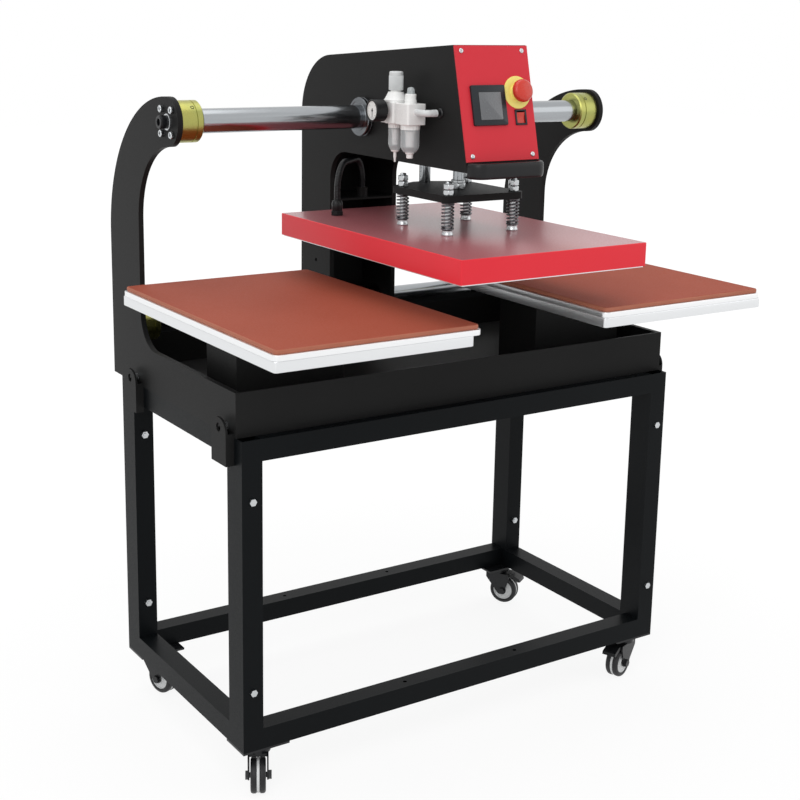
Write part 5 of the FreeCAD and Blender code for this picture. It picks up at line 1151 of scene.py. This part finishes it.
@dataclass
class AirUnit:
    """Filter-regulator and lubricator with bowls, gauge and outlet elbow (millimetres)."""

    knob: float = 13.5
    block_height: float = 38.0
    bowl_height: float = 50.0
    pitch: float = 49.0
    port_drop: float = 15.0
    inlet_face: float = 21.5
    outlet_face: float = 21.6
    bracket_x: float = -86.2
    outlet_y: float = -146.0
    grommet_x: float = -80.5
    elbow_bend: float = 8.5
    elbow_reach: float = 22.0
    elbow_radius: float = 6.2

    def axis(self, name: str) -> np.ndarray:
        """Finds a block's axis at its upper face.

        Args:
            name: The regulator, or else the oiler in front of it.

        Returns:
            The place in metres.
        """
        turn = np.array(joint("regulator_turn")["pos_m"], float)
        shift = 0.0 if name == "regulator" else self.pitch * MM
        return np.array([turn[0], turn[1] - shift, self.top])

    @property
    def top(self) -> float:
        """Height of the blocks' upper face: the bowls hang from their lower face."""
        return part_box("frl_bowls")[1][2] + self.block_height * MM

    def blocks(self) -> None:
        """Builds the two castings, the bonnet, the sight dome and the wall bracket."""
        form = Form("air_unit_castings")
        for name in ("regulator", "oiler"):
            seat = Seat(self.axis(name))
            form.slab(20.0, 21.6, 4.0, [(0.8, -38.0), (0, -37.2), (0, -0.8), (0.8, 0)],
                      WHITE_CASTING, seat)
            form.turned([(0, -38.6), (19.4, -38.6), (19.8, -37.6), (19.8, -33.0), (0, -33.0)],
                        WHITE_CASTING, seat, around=48)
        joint_seat = Seat((self.axis("regulator") + self.axis("oiler")) / 2)
        form.slab(14.0, 5.0, 1.0, [(0, -34.0), (0, -4.0)], GREY_ABS, joint_seat)
        reg = Seat(self.axis("regulator"))
        form.turned([(0, 0), (21.8, 0), (22.0, 1.0), (22.0, 4.0), (20.6, 5.2), (15.0, 16.0),
                     (14.2, 18.0), (10.0, 18.0), (10.0, 26.0), (9.9, 40.0), (0, 40.0)],
                    WHITE_CASTING, reg, around=64)
        oiler = Seat(self.axis("oiler"))
        form.turned([(0, 0), (11.0, 0), (11.0, 6.0), (10.2, 7.0), (10.2, 16.0), (9.4, 17.0),
                     (0, 17.0)], WHITE_CASTING, oiler, around=48)
        form.turned([(0, 17.0), (7.0, 17.0), (7.0, 24.0), (6.2, 26.6), (4.4, 28.2), (2.0, 29.0),
                     (0, 29.0)], POLYCARBONATE, oiler, around=40)
        between = (reg.origin[1] + oiler.origin[1]) / 2
        bracket = Seat(np.array([self.bracket_x * MM, between, self.top]))
        form.slab(5.8, 24.5, 1.0, [(0, -30.0), (0, -8.0)], ZINC, bracket)
        boss = facing((reg.origin[0], reg.origin[1] + self.inlet_face * MM,
                       self.top - self.port_drop * MM), (0, 1, 0))
        form.turned([(5.9, 0), (11.0, 0), (11.0, 4.0), (10.0, 5.0), (6.6, 5.0), (5.9, 4.4),
                     (5.9, -7.0), (0, -7.0)], WHITE_CASTING, boss, around=40)
        form.build("carriage", "frl_body", slot="white_plastic")

    def bowls(self) -> None:
        """Builds both clear bowls, their collars and the fittings under them."""
        form = Form("air_unit_bowls")
        for name, radius in (("regulator", 13.0), ("oiler", 17.5)):
            seat = Seat(self.axis(name) - np.array([0, 0, self.block_height * MM]))
            narrow = radius * 0.65
            form.turned([(0, -self.bowl_height), (narrow, -self.bowl_height),
                         (radius - 1.5, -44.0), (radius, -39.0),
                         (radius, -9.0)], POLYCARBONATE, seat, around=56)
            form.turned([(0, -9.0), (radius + 0.4, -9.0), (radius + 0.4, -2.0), (radius, -0.1),
                         (0, -0.1)], WHITE_CASTING, seat, around=56, ribs=20, rib_depth=0.7)
            form.turned([(0, -40.0), (radius * 0.45, -40.0), (radius * 0.5, -16.0),
                         (radius * 0.62, -12.0), (0, -9.2)], WHITE_CASTING, seat, around=32)
        foot = np.array([0, 0, (self.block_height + self.bowl_height) * MM])
        seat = Seat(self.axis("regulator") - foot)
        form.turned([(0, -22.0), (1.8, -22.0), (2.2, -16.0), (3.0, -12.0), (3.0, -4.0),
                     (7.0, -2.5), (8.2, 0.4), (0, 0.4)], WHITE_CASTING, seat, around=32)
        seat = Seat(self.axis("oiler") - foot)
        form.turned([(0, -11.0), (5.5, -11.0), (6.2, -10.2), (6.2, -4.0), (8.0, -3.0),
                     (8.6, 0.4), (0, 0.4)], WHITE_CASTING, seat, around=40)
        form.build("carriage", "frl_bowls", slot="clear_plastic")

    def regulator_knob(self) -> None:
        """Builds the ribbed knob with a plain cap."""
        low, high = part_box("regulator_knob")[0][2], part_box("regulator_knob")[1][2]
        seat = Seat(np.array([*self.axis("regulator")[:2], low]))
        height = (high - low) / MM
        r = self.knob
        form = Form("ribbed_knob")
        form.turned([(10.2, 0), (r - 0.6, 0), (r - 0.1, 0.8), (r - 0.1, height - 8.0),
                     (r - 0.6, height - 7.2)], GREY_ABS, seat, around=144, ribs=36, rib_depth=0.9)
        form.turned([(r - 1.4, height - 7.6), (r - 0.7, height - 6.8), (r - 0.7, height - 2.0),
                     (r - 2.2, height - 0.3), (r - 5.0, height), (0, height)], GREY_ABS, seat)
        form.build("regulator", "regulator_knob", slot="grey_plastic")

    def gauge(self) -> None:
        """Builds the gauge's case, white dial with tick marks, and pointer."""
        low, high = (np.array(v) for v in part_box("gauge_case"))
        centre = np.array([low[0], (low[1] + high[1]) / 2, (low[2] + high[2]) / 2])
        seat = facing(centre, (-1, 0, 0))
        form = Form("pressure_gauge")
        form.turned([(0, -33.0), (6.0, -33.0), (6.0, -25.0), (18.4, -25.0), (20.0, -23.6),
                     (20.0, -0.9), (19.3, 0.0), (17.8, 0.0), (17.3, -0.6), (17.3, -2.4),
                     (0, -2.4)], BLACK_NYLON, seat, around=72)
        form.turned([(0, -2.38), (17.2, -2.38), (17.2, -2.3), (0, -2.3)], DIAL_WHITE, seat)
        angle = np.radians(np.linspace(-225, 45, 28))
        inner = np.where(np.arange(28) % 3 == 0, 11.4, 13.2)
        out = np.column_stack([np.cos(angle), np.sin(angle)])
        wide = np.column_stack([-np.sin(angle), np.cos(angle)]) * 0.22
        ticks = np.stack([out * inner[:, None] - wide, out * 15.4 - wide, out * 15.4 + wide,
                          out * inner[:, None] + wide], axis=1)
        for tick in ticks:
            flat = np.column_stack([tick, np.full(4, -2.28)])
            form.grid(np.stack([flat, flat + [0, 0, 0.05]]), BLACK_NYLON, seat)
        form.build("carriage", "gauge_case", slot="black_plastic")
        form = Form("gauge_pointer_hand")
        hand = facing(centre, (-1, 0, 0), (0, 0, 1))
        shape = np.array([[-0.9, 4.0], [-0.25, -13.0], [0.25, -13.0], [0.9, 4.0]])
        flat = np.column_stack([shape, np.full(4, -2.2)])
        form.grid(np.stack([flat, flat + [0, 0, 0.5]]), BEZEL, hand)
        form.turned([(0, -2.2), (2.2, -2.2), (2.0, -1.5), (0, -1.4)], BLACK_NYLON, hand, around=24)
        form.build("gauge_pointer", "gauge_needle", slot="black_plastic")

    def outlet(self) -> None:
        """Builds the push-in elbow, the short tube and the grommet in the cheek."""
        height = self.top - self.port_drop * MM
        form = Form("outlet_elbow_and_tube")
        oiler = self.axis("oiler")
        start = np.array([oiler[0], oiler[1] - self.outlet_face * MM, height])
        corner = np.array([oiler[0], self.outlet_y * MM, height])
        reach = self.elbow_reach * MM
        turn = np.linspace(0, math.pi / 2, 12)
        bend = self.elbow_bend * MM
        arc = np.column_stack([corner[0] + bend * (1 - np.cos(turn)),
                               corner[1] + bend * (1 - np.sin(turn)), np.full(12, height)])
        path = np.concatenate([[start], [start - [0, 0.006, 0]], arc,
                               [[corner[0] + reach, corner[1], height]]])
        form.tube(path, self.elbow_radius * MM, GREY_ABS, around=28)
        seat = facing((corner[0] + 0.012, corner[1], height), (1, 0, 0))
        form.turned([(0, 0), (6.4, 0), (6.5, 0.6), (6.5, 6.0), (6.0, 6.6), (6.0, 8.0),
                     (6.5, 8.6), (6.3, 10.4), (4.2, 10.6), (0, 10.6)], GREY_ABS, seat,
                    around=32)
        seat = facing((corner[0] + reach, corner[1], height), (1, 0, 0))
        form.turned([(0, 0), (4.0, 0), (4.0, 39.0), (0, 39.0)], CONDUIT, seat, around=28)
        seat = facing((self.grommet_x * MM, corner[1], height), (-1, 0, 0))
        form.turned([(4.1, 0.1), (9.0, 0.1), (9.0, 1.6), (7.6, 3.4), (5.4, 3.8), (4.1, 3.2),
                     (4.1, 0.1)], CONDUIT, seat, around=36)
        form.build("carriage", "air_outlet_fitting", slot="black_plastic")

    def build(self) -> None:
        """Builds every piece of the air unit."""
        self.blocks()
        self.bowls()
        self.regulator_knob()
        self.gauge()
        self.outlet()


@dataclass
class Dressing:
    """Finishes of the model's own nodes that keep their shape."""

    finishes: dict[str, Finish] = field(
        default_factory=lambda: {
            "black_powder": BLACK_POWDER, "stand_powder": STAND_POWDER,
            "red_powder": RED_POWDER, "chromed_steel": CHROME, "yellow_zinc": YELLOW_ZINC,
            "zinc_steel": ZINC, "black_zinc": BLACK_ZINC, "spring_steel": SPRING_WIRE,
            "cast_aluminium": CAST_ALUMINIUM, "milled_aluminium": MILLED_ALUMINIUM,
            "silicone_foam": SILICONE, "tread_rubber": TREAD, "black_plastic": BLACK_NYLON,
            "grey_plastic": GREY_ABS, "white_plastic": WHITE_CASTING,
            "clear_plastic": POLYCARBONATE, "yellow_plastic": YELLOW_ABS,
            "red_plastic": RED_ABS, "black_rubber": CONDUIT,
        }
    )

    def build(self) -> None:
        """Gives every node of the model the finish of its record slot."""
        for part in frame["record"]["subparts"]:
            finish = self.finishes[part["material_slot"]]
            item = frame["nodes"][part["node"]]
            item.data.materials.clear()
            item.data.materials.append(finish.make())
        frame["nodes"]["front_panel"].data.materials[0] = PANEL_RED.make()


@dataclass
class Studio:
    """Camera, floor, world and lamps."""

    eye: tuple[float, float, float] = (-1.54585, -2.24414, 1.397)
    target: tuple[float, float, float] = (0.22557, 0.39371, 0.6847)
    roll: float = 0.02
    lens: float = 63.76
    shift: tuple[float, float] = (-0.0127, -0.0881)
    light: float = 0.6
    floor_half: float = 14.0

    def camera(self) -> None:
        """Places the camera by its look-at line and roll."""
        ahead = np.array(self.target) - np.array(self.eye)
        ahead /= np.linalg.norm(ahead)
        right = np.cross(ahead, (0, 0, 1))
        right /= np.linalg.norm(right)
        up = np.cross(right, ahead)
        turned = right * math.cos(self.roll) + up * math.sin(self.roll)
        upright = up * math.cos(self.roll) - right * math.sin(self.roll)
        data = bpy.data.cameras.new("studio_camera")
        data.lens = self.lens
        data.sensor_width = 36.0
        data.shift_x, data.shift_y = self.shift
        data.clip_end = 60.0
        item = bpy.data.objects.new("studio_camera", data)
        matrix = np.eye(4)
        matrix[:3, 0], matrix[:3, 1], matrix[:3, 2] = turned, upright, -ahead
        matrix[:3, 3] = self.eye
        item.matrix_world = Matrix(matrix.tolist())
        bpy.context.scene.collection.objects.link(item)
        bpy.context.scene.camera = item

    def seen(self, tree: bpy.types.NodeTree) -> bpy.types.NodeSocket:
        """Adds nodes that give one where a camera, glossy or transmission ray looks.

        Args:
            tree: The material's or the world's node tree.

        Returns:
            The output socket: the greatest of the three rays' flags.
        """
        path = add(tree, "LightPath")
        looks = {0: path.outputs["Is Camera Ray"], 1: path.outputs["Is Glossy Ray"]}
        both = add(tree, "Math", looks, operation="MAXIMUM")
        return add(tree, "Math", {0: both.outputs[0], 1: path.outputs["Is Transmission Ray"]},
                   operation="MAXIMUM").outputs[0]

    def floor(self) -> None:
        """Lays a pale floor that glows a little for the camera and keeps the shadow."""
        mesh = bpy.data.meshes.new("studio_floor")
        half = self.floor_half
        mesh.from_pydata([(-half, -half, 0), (half, -half, 0), (half, half, 0), (-half, half, 0)],
                         [], [(0, 1, 2, 3)])
        item = bpy.data.objects.new("studio_floor", mesh)
        bpy.context.scene.collection.objects.link(item)
        material = bpy.data.materials.new("studio_white")
        material.use_nodes = True
        tree = material.node_tree
        tree.nodes.remove(tree.nodes["Principled BSDF"])
        matt = add(tree, "BsdfDiffuse", {"Color": linear("f4f4f4")})
        glow = add(tree, "Emission", {"Color": linear("ffffff"), "Strength": 1.05})
        away = add(tree, "VectorMath", {0: add(tree, "TexCoord").outputs["Object"]},
                   operation="LENGTH")
        fade = add(tree, "MapRange", {"Value": away.outputs["Value"], "From Min": 0.9,
                                      "From Max": 2.4, "To Min": 0.84, "To Max": 1.0})
        share = add(tree, "Math", {0: self.seen(tree), 1: fade.outputs[0]},
                    operation="MULTIPLY")
        mixed = add(tree, "MixShader", {0: share.outputs[0], 1: matt.outputs[0],
                                        2: glow.outputs[0]})
        tree.links.new(mixed.outputs[0], tree.nodes["Material Output"].inputs["Surface"])
        mesh.materials.append(material)

    def world(self) -> None:
        """White behind everything that is looked at; a plain level for the light itself."""
        world = bpy.data.worlds.new("studio_world")
        bpy.context.scene.world = world
        world.use_nodes = True
        tree = world.node_tree
        plain = tree.nodes["Background"]
        plain.inputs["Color"].default_value = linear("ffffff")
        plain.inputs["Strength"].default_value = self.light
        white = add(tree, "Background", {"Color": linear("ffffff"), "Strength": 1.0})
        mixed = add(tree, "MixShader", {0: self.seen(tree), 1: plain.outputs[0],
                                        2: white.outputs[0]})
        tree.links.new(mixed.outputs[0], tree.nodes["World Output"].inputs["Surface"])

    def lamps(self) -> None:
        """Hangs three large soft lamps: front left, front right and overhead."""
        for name, spot, size, power in (
            ("key_lamp", (-2.6, -2.4, 3.0), 2.4, 42.0),
            ("fill_lamp", (2.8, -2.0, 2.2), 2.4, 12.0),
            ("top_lamp", (-0.3, 0.2, 3.8), 2.6, 26.0),
        ):
            data = bpy.data.lights.new(name, "AREA")
            data.size = size
            data.energy = power
            item = bpy.data.objects.new(name, data)
            aim = facing(spot, np.array(spot) - np.array([0.0, 0.0, 0.7]))
            matrix = np.eye(4)
            matrix[:3, :3] = aim.basis
            matrix[:3, 3] = spot
            item.matrix_world = Matrix(matrix.tolist())
            bpy.context.scene.collection.objects.link(item)

    def build(self) -> None:
        """Builds the studio."""
        self.camera()
        self.floor()
        self.world()
        self.lamps()
        bpy.context.scene.view_settings.view_transform = "Standard"


def main() -> None:
    """Builds the studio, the finishes and every sub-assembly in order."""
    logging.basicConfig(level=logging.INFO, format="%(message)s")
    Studio().build()
    Dressing().build()
    for corner in Corner:
        CasterWheel(corner).build()
    for part in (Shafts(), LowerPlatens(), HeatPlaten(), PressRods(), ControlPanel(),
                 FrontHandle(), AirUnit()):
        part.build()
        LOG.info("built %s", type(part).__name__)


if __name__ == "__main__":
    main()
